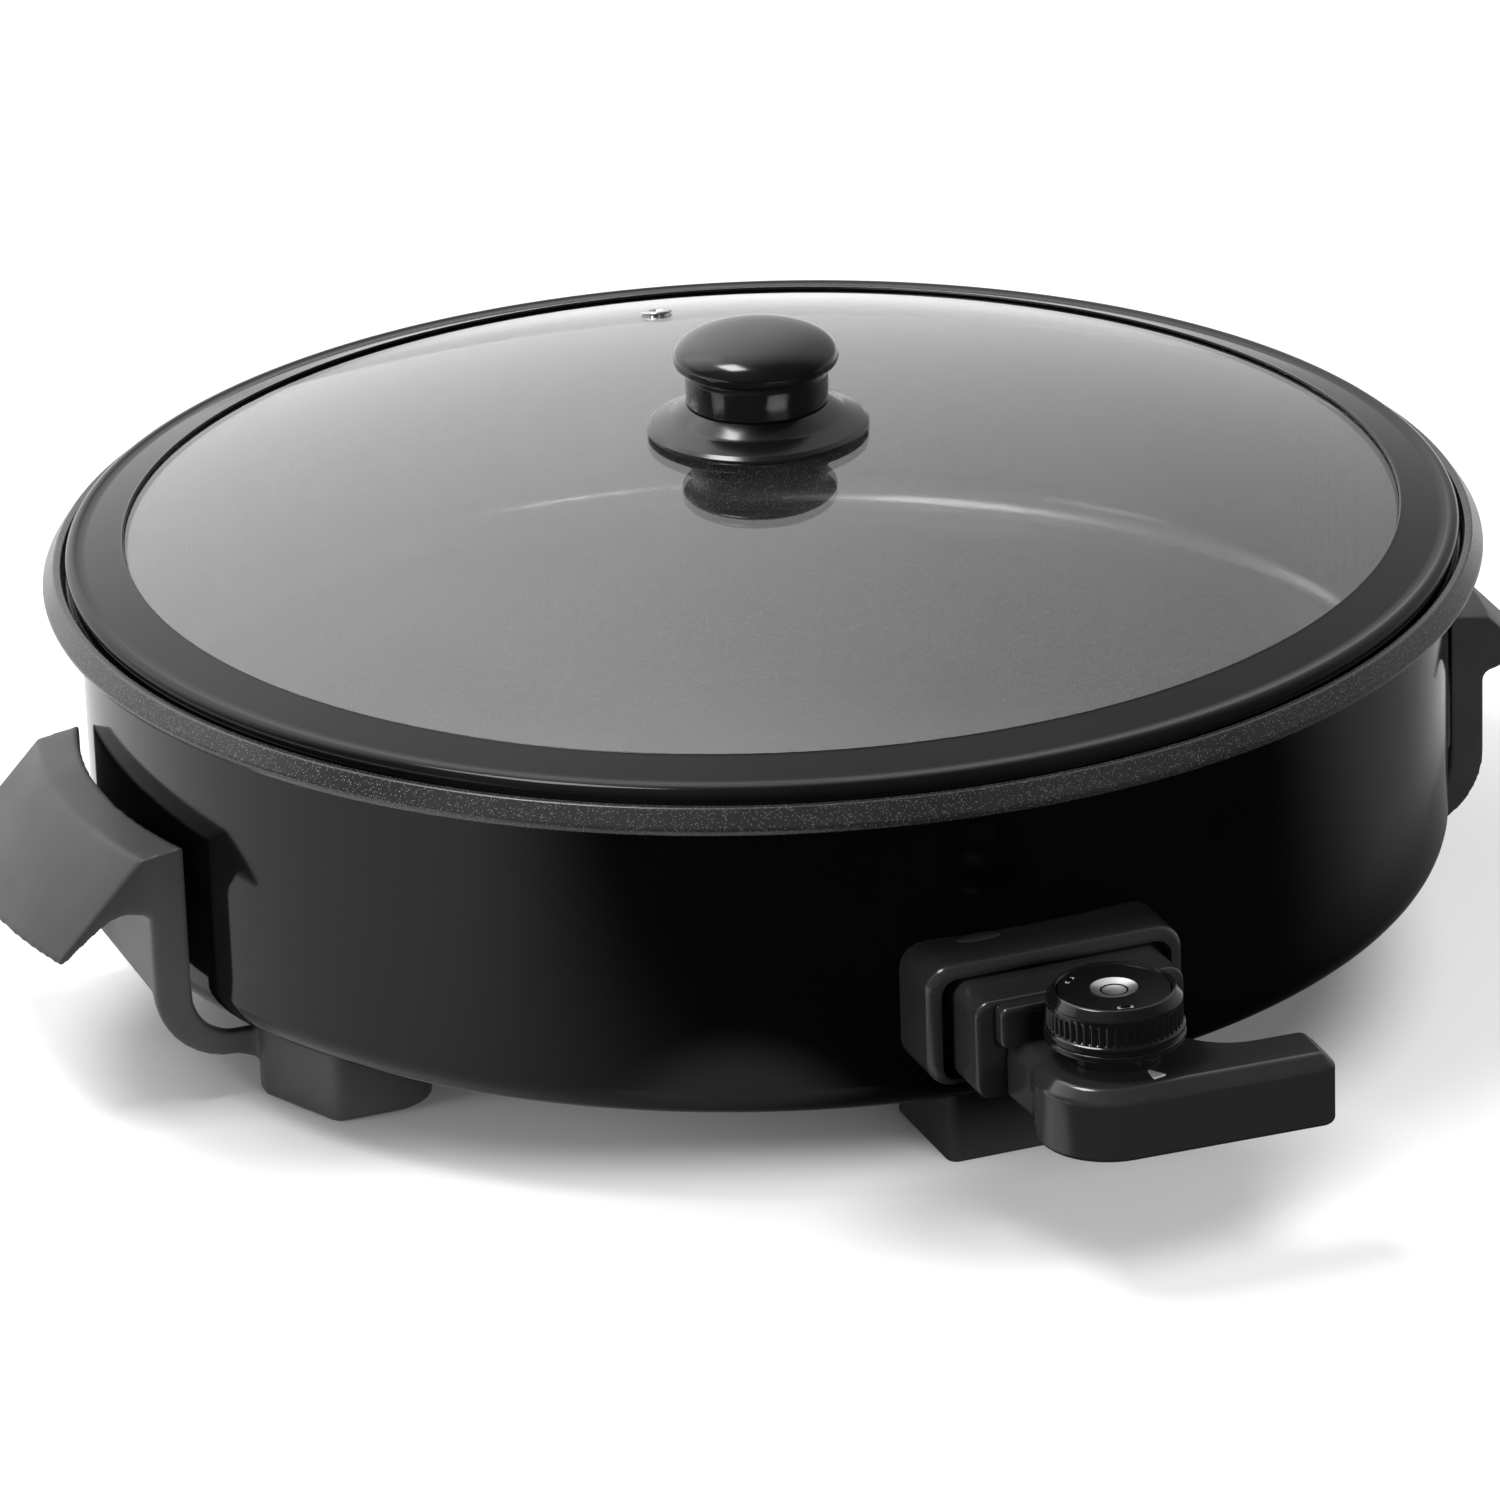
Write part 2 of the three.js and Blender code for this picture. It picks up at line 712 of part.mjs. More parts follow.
function knobCapGeometry() {
  const { boreRadius, boreDepth, neckRadius, neckTop, neckUndercut, capRadius } = knob;
  const { capLowerEdge, capHeight, capShoulder, skirtHeight } = knob;
  const shoulderZ = capLowerEdge + capShoulder;
  const crown = arc(0, 0, 1, 0, 90, CROWN_STEPS).map(([x, z]) => (
    [capRadius * x, shoulderZ + (capHeight - shoulderZ) * z]
  ));
  crown[crown.length - 1][0] = 0;
  const bottomZ = skirtHeight + GAP;
  const profile = [
    [boreRadius, bottomZ],
    [neckRadius, bottomZ],
    [neckRadius, neckTop],
    [neckRadius - neckUndercut, neckTop + neckUndercut],
    [capRadius - capShoulder / 2, capLowerEdge],
    ...crown,
    [0, boreDepth],
    [boreRadius, boreDepth],
  ];
  return revolve(profile, KNOB_SIDES);
}

function knobScrewGeometry() {
  const { screwRadius, screwHeadRadius, screwHeadHeight, washer, boreDepth } = knob;
  const seatZ = -lid.thickness - GAP - washer - GAP;
  const profile = [
    [0, seatZ - screwHeadHeight],
    [screwHeadRadius - screwRadius / 2, seatZ - screwHeadHeight],
    [screwHeadRadius, seatZ - screwHeadHeight / 2],
    [screwHeadRadius, seatZ],
    [screwRadius, seatZ],
    [screwRadius, boreDepth - GAP],
    [0, boreDepth - GAP],
  ];
  return revolve(profile, ROD_SIDES);
}

function washerGeometry() {
  const topZ = -lid.thickness - GAP;
  const ring = rod(knob.washerRadius, topZ - knob.washer, topZ, KNOB_SIDES);
  return cut(ring, [rod(knob.boreRadius, topZ - OVERRUN, topZ + OVERRUN)]);
}

// Controller: plug block with its contacts
function blockGeometry() {
  const outline = roundedRectangle(0, block.z, block.width, block.height, block.corner);
  const body = prismAlongY(outline, block.frontY, block.backY, block.edge);
  const boreEndY = block.backY - block.sleeveLength - GAP;
  const outerY = block.backY + OVERRUN;
  const bores = contactPlaces().map(([x, z]) => rodAlongY(block.sleeveBore, x, z, boreEndY, outerY));
  bores.push(rodAlongY(pins.probeRadius + GAP, 0, pins.z, pins.probeSeatY - GAP, outerY));
  return cut(body, bores);
}

function contactPlaces() {
  return [[-pins.spacing / 2, pins.z], [pins.spacing / 2, pins.z], [0, pins.earthZ]];
}

function sleeveGeometry([x, z]) {
  const nearY = block.backY - block.sleeveLength;
  const tube = rodAlongY(block.sleeveOuter, x, z, nearY, block.backY);
  return cut(tube, [rodAlongY(block.sleeveInner, x, z, nearY - OVERRUN, block.backY + OVERRUN)]);
}

function probeGeometry() {
  return rodAlongY(pins.probeRadius, 0, pins.z, pins.probeSeatY, pins.probeEndY);
}

// Grip outline seen from above: the bar, and the neck with the hollow beside it
function barOutline() {
  const { leftX, rightX, frontY, armBackY, leftBackY, leftRadius, leftBackRadius, rightRadius } = grip;
  return [
    ...arc(rightX - rightRadius, frontY + rightRadius, rightRadius, -90, 0),
    ...arc(rightX - rightRadius, armBackY - rightRadius, rightRadius, 0, 90),
    [grip.neckHalfWidth, armBackY],
    [grip.neckHalfWidth - leftBackRadius, leftBackY],
    ...arc(leftX + leftBackRadius, leftBackY - leftBackRadius, leftBackRadius, 90, 180),
    ...arc(leftX + leftRadius, frontY + leftRadius, leftRadius, 180, 270, CROWN_STEPS),
  ];
}

function upperOutline() {
  const { leftX, rightX, frontY, armBackY, leftBackY, leftRadius, leftBackRadius, rightRadius } = grip;
  const { neckHalfWidth, filletRadius } = grip;
  return [
    ...arc(rightX - rightRadius, frontY + rightRadius, rightRadius, -90, 0),
    ...arc(rightX - rightRadius, armBackY - rightRadius, rightRadius, 0, 90),
    ...arc(neckHalfWidth + filletRadius, armBackY + filletRadius, filletRadius, 270, 180, CROWN_STEPS),
    [neckHalfWidth, block.frontY - GAP],
    [-neckHalfWidth, block.frontY - GAP],
    [-neckHalfWidth, leftBackY + leftBackRadius],
    ...arc(leftX + leftBackRadius, leftBackY - leftBackRadius, leftBackRadius, 120, 180),
    ...arc(leftX + leftRadius, frontY + leftRadius, leftRadius, 180, 270, CROWN_STEPS),
  ];
}

function controllerHousingGeometry() {
  const { topZ, bottomZ, neckBottomZ, edge, topChamfer, inletRadius } = grip;
  const upper = chamferedPrism(upperOutline(), neckBottomZ, topZ, edge, topChamfer);
  const bar = prism(barOutline(), bottomZ, topZ - topChamfer, edge);
  const shaftHole = rod(dial.shaftRadius + GAP, topZ - dial.shaftDepth - GAP, topZ + OVERRUN);
  const inlet = rod(inletRadius + GAP, 0, grip.inletDepth + OVERRUN);
  inlet.rotateY(Math.PI / 2).translate(grip.rightX - grip.inletDepth, inletY(), inletZ());
  const coverRecess = prism(coverOutline(GAP), bottomZ - OVERRUN, bottomZ + grip.coverThickness + GAP);
  const coverHoles = coverScrewPlaces().map(([x, y]) => (
    rod(grip.coverScrewRadius + GAP, bottomZ, bottomZ + grip.coverScrewLength + GAP).translate(x, y, 0)
  ));
  const cutters = [
    shaftHole.translate(dial.x, dial.y, 0),
    inlet,
    pointerGeometry(GAP).translate(0, 0, -GAP),
    coverRecess,
    ...coverHoles,
  ];
  return cut(join([upper, bar, rootGeometry()]), cutters);
}

// Raised step where the neck meets the plug block, hollowed for the dial's flange
function rootGeometry() {
  const { topZ, edge, rootWidth, rootRise, rootSink, rootLength, rootRelief } = grip;
  const height = rootRise + rootSink;
  const outline = roundedRectangle(0, topZ - rootSink + height / 2, rootWidth, height, edge);
  const farY = block.frontY - GAP;
  const step = prismAlongY(outline, farY - rootLength, farY, edge / 2);
  const relief = rod(dial.flangeRadius + rootRelief, topZ, topZ + rootRise + OVERRUN, DIAL_SIDES);
  return cut(step, [relief.translate(dial.x, dial.y, 0)]);
}

function inletY() {
  return (grip.frontY + grip.armBackY) / 2;
}

function inletZ() {
  return (grip.bottomZ + grip.topZ) / 2;
}

function inletGeometry() {
  const { inletRadius, inletBore, inletDepth, inletLip } = grip;
  const depth = inletDepth - GAP;
  const profile = [
    [inletBore, 0],
    [inletRadius, 0],
    [inletRadius, depth - inletLip],
    [inletRadius - inletLip, depth],
    [inletBore, depth],
  ];
  const ring = revolve(profile, ROD_SIDES);
  return ring.rotateY(Math.PI / 2).translate(grip.rightX - depth, inletY(), inletZ());
}

// Cover let into the underside of the bar
function coverOutline(growth) {
  const { rightX, leftX, leftRadius, frontY, armBackY, coverInset, coverFarInset } = grip;
  const right = rightX - coverInset;
  const left = leftX + leftRadius / 2;
  const near = frontY + coverInset;
  const far = armBackY - coverFarInset;
  return roundedRectangle(
    (left + right) / 2,
    (near + far) / 2,
    right - left + 2 * growth,
    far - near + 2 * growth,
    grip.edge,
  );
}

function coverScrewPlaces() {
  const y = (grip.frontY + grip.coverInset + grip.armBackY - grip.coverFarInset) / 2;
  return [[grip.leftX + grip.leftRadius, y], [grip.rightX - grip.coverScrewInset, y]];
}

function coverGeometry() {
  const { bottomZ, coverThickness, coverScrewRadius, coverScrewHead, coverScrewHeadRadius } = grip;
  const plate = prism(coverOutline(0), bottomZ, bottomZ + coverThickness);
  const holes = [];
  for (const [x, y] of coverScrewPlaces()) {
    holes.push(rod(coverScrewRadius + GAP, bottomZ - OVERRUN, bottomZ + OVERRUN).translate(x, y, 0));
    const seatZ = bottomZ + coverScrewHead;
    holes.push(rod(coverScrewHeadRadius + GAP, bottomZ - OVERRUN, seatZ).translate(x, y, 0));
  }
  return cut(plate, holes);
}

function coverScrewGeometry() {
  const { bottomZ, coverScrewRadius, coverScrewHead, coverScrewHeadRadius, coverScrewLength } = grip;
  const headTopZ = bottomZ + coverScrewHead - GAP;
  const profile = [
    [0, bottomZ],
    [coverScrewHeadRadius, bottomZ],
    [coverScrewHeadRadius, headTopZ],
    [coverScrewRadius, headTopZ],
    [coverScrewRadius, bottomZ + coverScrewLength],
    [0, bottomZ + coverScrewLength],
  ];
  return revolve(profile, ROD_SIDES);
}

// Small triangle let into the grip, pointing at the dial
function pointerGeometry(growth) {
  const { x, y, pointerDistance, pointerLength, pointerWidth, pointerTurn } = dial;
  const { pointerThickness, pointerStand } = dial;
  const outline = [
    [-pointerWidth / 2 - growth, -pointerDistance - pointerLength - growth],
    [pointerWidth / 2 + growth, -pointerDistance - pointerLength - growth],
    [0, -pointerDistance + growth * 2],
  ];
  const topZ = grip.topZ + pointerStand;
  const tooth = prism(outline, topZ - pointerThickness, topZ + growth * 2);
  return tooth.rotateZ(pointerTurn).translate(x, y, 0);
}

// Dial, measured up from the bottom of its skirt
function dialSkirtGeometry() {
  const { radius, ribDepth, ribs, ribShare, wall, height, ribTop } = dial;
  const { flangeRadius, flangeHeight, flangeEdge } = dial;
  const smooth = radius - ribDepth / 2;
  const root = radius - ribDepth;
  const inner = root - wall;
  const profile = [
    [inner, 0],
    [flangeRadius - flangeEdge, 0],
    [flangeRadius, flangeEdge],
    [flangeRadius, flangeHeight - flangeEdge],
    [flangeRadius - flangeEdge, flangeHeight],
    [smooth, flangeHeight],
    ...arc(smooth - wall, height - wall, wall, 0, 90, 2),
    [inner, height],
  ];
  const outline = [];
  for (let i = 0; i < ribs; i++) {
    for (const [share, rib] of [[0, radius], [ribShare, radius], [ribShare, root], [1, root]]) {
      const angle = (2 * Math.PI * (i + share)) / ribs;
      outline.push([rib * Math.cos(angle), rib * Math.sin(angle)]);
    }
  }
  const ribbed = prism(outline, flangeHeight / 2, ribTop);
  const core = rod(inner + wall / 2, -OVERRUN, height + OVERRUN, DIAL_SIDES);
  return join([revolve(profile, DIAL_SIDES), cut(ribbed, [core])]);
}

function dialDiscGeometry() {
  const { radius, ribDepth, wall, height, discDrop, disc, hubRadius, hubBottom, shaftRadius } = dial;
  const { spotRadius, spotRecess, shaftTop } = dial;
  const outer = radius - ribDepth - wall - GAP;
  const topZ = height - discDrop;
  const profile = [
    [shaftRadius + GAP, hubBottom],
    [hubRadius, hubBottom],
    [hubRadius, topZ - disc],
    [outer, topZ - disc],
    [outer, topZ],
    [spotRadius + GAP, topZ],
    [spotRadius + GAP, topZ - spotRecess],
    [0, topZ - spotRecess],
    [0, shaftTop + GAP],
    [shaftRadius + GAP, shaftTop + GAP],
  ];
  return revolve(profile, KNOB_SIDES);
}

function dialSpotGeometry() {
  const bottomZ = dial.height - dial.discDrop - dial.spotRecess + GAP;
  return rod(dial.spotRadius, bottomZ, bottomZ + dial.spotHeight, KNOB_SIDES);
}

function collarGeometry() {
  const ring = rod(dial.collarRadius, grip.topZ + GAP, grip.topZ + dial.collarHeight, KNOB_SIDES);
  const bore = rod(dial.shaftRadius + GAP, grip.topZ - OVERRUN, grip.topZ + dial.collarHeight + OVERRUN);
  return cut(ring, [bore]).translate(dial.x, dial.y, 0);
}

// Handle bracket on the +X side: grip, leg, arms and two feet in one moulding. It is built
// about its own middle and then moved along Y.
function bracketGeometry() {
  const { halfLength, innerX, axisX, sweepRadius, gripTopZ, webBottomZ, cheek, legOuterX } = handle;
  const gripBar = revolve(gripProfile(), handle.sweepSides).translate(axisX, 0, 0);
  const gripLimit = boxBetween(
    [axisX, -halfLength, 0],
    [axisX + sweepRadius + handle.tip + OVERRUN, halfLength, gripTopZ + OVERRUN],
  );
  const leg = prismAlongY(legOutline(), -halfLength, halfLength);
  const between = halfLength - cheek;
  const archway = boxBetween(
    [0, -between, 0],
    [legOuterX + OVERRUN, between, webBottomZ],
  );
  const hollow = rod(sweepRadius, webBottomZ, gripTopZ + OVERRUN, handle.sweepSides);
  const hollowLimit = boxBetween(
    [axisX, -halfLength - OVERRUN, webBottomZ],
    [innerX + OVERRUN, halfLength + OVERRUN, gripTopZ + OVERRUN],
  );
  const hollowed = keepInside(hollow.translate(axisX, 0, 0), hollowLimit);
  const channel = prismAlongY(channelOutline(), -halfLength - OVERRUN, halfLength + OVERRUN);
  const frame = cut(join([leg, keepInside(gripBar, gripLimit)]), [archway, hollowed, channel]);
  const envelope = housingEnvelope().translate(0, -handle.offsetY, 0);
  const feet = [-1, 1].map((side) => footGeometry(side));
  const bores = [-1, 1].flatMap((side) => screwBores(foot.screwX, side * foot.screwY));
  return cut(join([frame, ...feet]), [envelope, ...bores]).translate(0, handle.offsetY, 0);
}

// Space between the arms and the housing, below the hollow of the grip
function channelOutline() {
  const { armInnerX, armTopZ, channelX, channelRadius, webBottomZ } = handle;
  return [
    [armInnerX - OVERRUN, armTopZ],
    ...arc(channelX - channelRadius, armTopZ + channelRadius, channelRadius, -90, 0),
    [channelX, webBottomZ],
    [armInnerX - OVERRUN, webBottomZ],
  ];
}

function gripProfile() {
  const { sweepRadius, gripTopZ, ridge, ridgeZ, tip, tipTopZ, tipEdge } = handle;
  return [
    [sweepRadius, gripTopZ],
    ...handle.underside.map(([distance, z]) => [sweepRadius + distance, z]),
    [sweepRadius + tip - tipEdge / 2, tipTopZ - tipEdge],
    [sweepRadius + tip, tipTopZ],
    [sweepRadius + ridge, ridgeZ],
  ];
}

function legOutline() {
  const { legOuterX, heelRadius, armBottomZ, armFootZ, armInnerX, gripTopZ, ridgeZ } = handle;
  return [
    [armInnerX, armFootZ],
    [foot.outerX, armFootZ],
    ...arc(legOuterX - heelRadius, armBottomZ + heelRadius, heelRadius, -90, 0, handle.heelSteps),
    [legOuterX, handle.legTopZ],
    [legOuterX - (gripTopZ - ridgeZ), gripTopZ],
    [armInnerX, gripTopZ],
  ];
}

function footGeometry(side) {
  const { outerX, tipX, innerX, outerY, tipY, backY, innerRadius, edge } = foot;
  const outline = [
    [outerX, outerY],
    [tipX, tipY],
    ...arc(innerX + innerRadius, tipY - innerRadius, innerRadius, 90, 180),
    [innerX, backY],
    [outerX, backY],
  ].map(([x, y]) => [x, side * y]);
  return prism(side > 0 ? outline : outline.reverse(), 0, housing.bottomZ + OVERRUN, edge);
}

// The housing's outer form, grown by a gap, that brackets and feet are cut back to
function housingEnvelope() {
  const { radius, bottomZ, topZ, cornerRadius } = housing;
  const profile = [
    [0, bottomZ - GAP],
    ...arc(radius - cornerRadius, bottomZ + cornerRadius, cornerRadius + GAP, -90, 0),
    [radius + GAP, topZ],
    [0, topZ],
  ];
  return revolve(profile, PAN_SIDES);
}

function screwBores(x, y) {
  const { bore, headBore, seatZ } = footScrew;
  return [
    rod(bore, -OVERRUN, housing.bottomZ + OVERRUN).translate(x, y, 0),
    rod(headBore, -OVERRUN, seatZ).translate(x, y, 0),
  ];
}

function bracketScrewPlaces() {
  return [-1, 1].map((side) => [foot.screwX, handle.offsetY + side * foot.screwY]);
}

function frontScrewPlaces() {
  const y = (foot.frontNearY + foot.frontFarY) / 2;
  return [[-foot.frontScrewX, y], [foot.frontScrewX, y]];
}

function footScrewPlaces() {
  const left = bracketScrewPlaces().map(([x, y]) => [-x, y]);
  return [...bracketScrewPlaces(), ...left, ...frontScrewPlaces()];
}

function frontFootGeometry() {
  const { frontHalfWidth, frontNearY, frontFarY, frontCorner, edge } = foot;
  const middle = (frontNearY + frontFarY) / 2;
  const outline = roundedRectangle(0, middle, 2 * frontHalfWidth, frontFarY - frontNearY, frontCorner);
  const blockUnder = prism(outline, 0, housing.bottomZ + OVERRUN, edge);
  const bores = frontScrewPlaces().flatMap(([x, y]) => screwBores(x, y));
  return cut(blockUnder, [housingEnvelope(), ...bores]);
}

function footScrewGeometry() {
  const { radius, headRadius, headHeight, seatZ, length } = footScrew;
  const headTopZ = seatZ - GAP;
  const profile = [
    [0, headTopZ - headHeight],
    [headRadius - radius / 2, headTopZ - headHeight],
    [headRadius, headTopZ - headHeight / 2],
    [headRadius, headTopZ],
    [radius, headTopZ],
    [radius, headTopZ + length],
    [0, headTopZ + length],
  ];
  return revolve(profile, ROD_SIDES);
}

function footNutGeometry() {
  const { nutRadius, nutHeight, bore } = footScrew;
  const bottomZ = housing.bottomZ + housing.sheet + GAP;
  const hexagon = rod(nutRadius, bottomZ, bottomZ + nutHeight, NUT_SIDES);
  return cut(hexagon, [rod(bore, bottomZ - OVERRUN, bottomZ + nutHeight + OVERRUN)]);
}

// One mesh for each place, named after it
function addAtEach(parent, name, places, geometry, material) {
  places.forEach(([x, y], i) => {
    const mesh = add(parent, `${name}_${i + 1}`, geometry, material);
    mesh.position.set(x, y, 0);
  });
}

// Assembly
function buildCooker() {
  const cooker = new THREE.Group();
  add(cooker, 'inner_pan', panGeometry(), finish.nonStick);
  add(cooker, 'outer_housing', housingGeometry(), finish.glossBlack);
  add(cooker, 'heating_element', elementGeometry(), finish.steel);
  const pinEndY = element.legEndY - GAP;
  add(cooker, 'line_pin_left', pinGeometry(-pins.spacing / 2, pins.radius, pins.z, pinEndY), finish.steel);
  add(cooker, 'line_pin_right', pinGeometry(pins.spacing / 2, pins.radius, pins.z, pinEndY), finish.steel);
  const wallInnerY = -(housing.radius - housing.sheet);
  add(cooker, 'earth_pin', pinGeometry(0, pins.earthRadius, pins.earthZ, wallInnerY), finish.steel);
  add(cooker, 'probe_pocket', pocketGeometry(), finish.steel);
  add(cooker, 'socket_guard', guardGeometry(), finish.glossPlastic);
  add(cooker, 'guard_screw_left', guardScrewGeometry(-1), finish.steel);
  add(cooker, 'guard_screw_right', guardScrewGeometry(1), finish.steel);

  add(cooker, 'right_handle_bracket', bracketGeometry(), finish.bakelite);
  add(cooker, 'left_handle_bracket', mirrorX(bracketGeometry()), finish.bakelite);
  add(cooker, 'front_foot', frontFootGeometry(), finish.bakelite);
  addAtEach(cooker, 'foot_screw', footScrewPlaces(), footScrewGeometry(), finish.steel);
  addAtEach(cooker, 'foot_nut', footScrewPlaces(), footNutGeometry(), finish.steel);
  return cooker;
}

function buildLid() {
  const cover = new THREE.Group();
  add(cover, 'lid_glass', glassGeometry(), finish.glass);
  add(cover, 'lid_band', bandGeometry(), finish.band);
  const seat = onDome(lid.ventX, lid.ventDistance);
  add(seat, 'vent_eyelet', eyeletGeometry(), finish.steel);
  cover.add(seat);

  const knobSeat = new THREE.Group();
  knobSeat.position.z = lid.apexZ;
  add(knobSeat, 'knob_skirt', knobSkirtGeometry(), finish.glossPlastic);
  add(knobSeat, 'knob_cap', knobCapGeometry(), finish.glossPlastic);
  add(knobSeat, 'knob_screw', knobScrewGeometry(), finish.steel);
  add(knobSeat, 'knob_washer', washerGeometry(), finish.rubber);
  cover.add(knobSeat);
  return cover;
}

function buildController() {
  const controller = new THREE.Group();
  add(controller, 'plug_block', blockGeometry(), finish.glossPlastic);
  const [left, right, earth] = contactPlaces();
  add(controller, 'contact_sleeve_left', sleeveGeometry(left), finish.steel);
  add(controller, 'contact_sleeve_right', sleeveGeometry(right), finish.steel);
  add(controller, 'earth_sleeve', sleeveGeometry(earth), finish.steel);
  add(controller, 'probe_rod', probeGeometry(), finish.steel);
  add(controller, 'controller_housing', controllerHousingGeometry(), finish.glossPlastic);
  add(controller, 'controller_cover', coverGeometry(), finish.glossPlastic);
  addAtEach(controller, 'cover_screw', coverScrewPlaces(), coverScrewGeometry(), finish.steel);
  add(controller, 'cord_inlet', inletGeometry(), finish.rubber);
  add(controller, 'pilot_pointer', pointerGeometry(0), finish.lamp);
  add(controller, 'dial_collar', collarGeometry(), finish.glossPlastic);
  return controller;
}

function buildDial() {
  const turning = new THREE.Group();
  turning.position.set(dial.x, dial.y, grip.topZ + dial.collarHeight + GAP);
  add(turning, 'dial_skirt', dialSkirtGeometry(), finish.glossPlastic);
  add(turning, 'dial_disc', dialDiscGeometry(), finish.glossPlastic);
  add(turning, 'dial_spot', dialSpotGeometry(), finish.steel);
  const shaftBottom = -(dial.collarHeight + GAP + dial.shaftDepth);
  add(turning, 'dial_shaft', rod(dial.shaftRadius, shaftBottom, dial.shaftTop), finish.steel);
  return turning;
}

// The skillet stands on its feet at z = 0, centred on the middle of its bounding box
const skillet = new THREE.Group();
skillet.add(buildCooker(), buildLid(), buildController(), buildDial());
const bounds = new THREE.Box3().setFromObject(skillet, true);
const middle = bounds.getCenter(new THREE.Vector3());
skillet.position.set(-middle.x, -middle.y, -bounds.min.z);

const model = new THREE.Group();
model.add(skillet);

export default model;
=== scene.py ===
"""Visible shells, finishes, studio and camera of a round electric skillet.

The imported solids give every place. The shells that show are numpy surfaces in
millimetres about the pan's axis, and are turned into metres when a mesh is made.
"""
import logging
from dataclasses import dataclass, field
from enum import Enum

import bmesh
import bpy
import numpy as np
from mathutils import Matrix, Vector


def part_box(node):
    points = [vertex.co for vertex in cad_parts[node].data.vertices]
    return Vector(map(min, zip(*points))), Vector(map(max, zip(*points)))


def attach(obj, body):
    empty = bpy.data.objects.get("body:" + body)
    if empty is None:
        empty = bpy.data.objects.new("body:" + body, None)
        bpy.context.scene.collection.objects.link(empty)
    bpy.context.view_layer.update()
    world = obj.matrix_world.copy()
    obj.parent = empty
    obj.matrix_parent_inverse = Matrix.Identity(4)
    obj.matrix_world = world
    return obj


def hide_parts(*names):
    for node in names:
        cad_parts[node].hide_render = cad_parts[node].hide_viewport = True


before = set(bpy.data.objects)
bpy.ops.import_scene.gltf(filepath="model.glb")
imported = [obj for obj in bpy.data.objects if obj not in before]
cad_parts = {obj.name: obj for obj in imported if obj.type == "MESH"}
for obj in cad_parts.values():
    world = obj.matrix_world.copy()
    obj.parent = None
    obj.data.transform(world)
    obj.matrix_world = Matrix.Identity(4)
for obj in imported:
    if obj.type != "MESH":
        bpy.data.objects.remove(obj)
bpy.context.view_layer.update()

log = logging.getLogger("skillet")

Array = np.ndarray
Shell = tuple[Array, list]
Triple = tuple[float, float, float]
Ramp = tuple[float, float, float, float]
Socket = bpy.types.NodeSocket
Feed = Socket | float | tuple

MM = 0.001
ROUND_SIDES = 256
SMALL_SIDES = 96
ROD_SIDES = 48
ARC_STEPS = 6
CREASE_ANGLE = np.radians(32)
MERGE_DISTANCE = 2e-6
LEAST_RADIUS = 0.05
FOOT_SCREWS = range(1, 7)
FRONT_SCREWS = [5, 6]
DIAL_PLACE = (0.4, -256.0)


class Body(Enum):
    """Bodies of the skillet that move on their own."""

    COOKER = "cooker"
    LID = "lid"
    CONTROLLER = "controller"
    DIAL = "dial"


class Look(Enum):
    """Finishes of the skillet, by the names of their materials."""

    NON_STICK = "non_stick_coating"
    ENAMEL = "gloss_black_enamel"
    PHENOLIC = "charcoal_phenolic"
    GLOSS_PLASTIC = "gloss_black_plastic"
    SATIN_PLASTIC = "satin_black_plastic"
    FLAT_PLASTIC = "flat_black_plastic"
    BAND = "satin_band_coating"
    PLATED_STEEL = "plated_steel"
    SILVER = "satin_silver"
    HEATED_STEEL = "heated_steel"
    BRASS = "drawn_brass"
    RUBBER = "soft_rubber"
    PRINT = "pale_print"
    GLASS = "tempered_glass"


class Effect(Enum):
    """Surface effects that several finishes share."""

    TONE = "uneven_tone"
    HANDLED = "handled_roughness"
    RELIEF = "moulded_relief"
    FLECKS = "light_flecks"


# Lines and surfaces


def unit(vectors: Array) -> Array:
    """Vectors brought to length 1 along the last axis."""
    length = np.linalg.norm(vectors, axis=-1, keepdims=True)
    return vectors / np.maximum(length, 1e-12)


def rounded(corners: Array | list, closed: bool = True, steps: int = ARC_STEPS) -> Array:
    """Line whose corners are replaced by arcs.

    An arc of radius r touches both legs at r / tan(half the corner's angle), and
    its points are the spherical mix of the two radii that end there.

    Args:
        corners: rows of (a, b, radius).
        closed: True where the last corner joins the first.
        steps: parts of each arc.

    Returns:
        Rows of (a, b).
    """
    corners = np.asarray(corners, float)
    place, radius = corners[:, :2], corners[:, 2:3]
    back = unit(np.roll(place, 1, axis=0) - place)
    onward = unit(np.roll(place, -1, axis=0) - place)
    half = np.arccos(np.clip((back * onward).sum(1, keepdims=True), -1, 1)) / 2
    reach = radius / np.tan(half)
    centre = place + unit(back + onward) * radius / np.sin(half)
    start = (place + back * reach - centre)[:, None]
    end = (place + onward * reach - centre)[:, None]
    swing = (np.pi - 2 * half)[:, None]
    share = np.linspace(0, 1, steps + 1)[None, :, None]
    mix = np.sin((1 - share) * swing) * start + np.sin(share * swing) * end
    arcs = centre[:, None] + mix / np.maximum(np.sin(swing), 1e-9)
    if closed:
        return arcs.reshape(-1, 2)
    return np.vstack([place[:1], arcs[1:-1].reshape(-1, 2), place[-1:]])


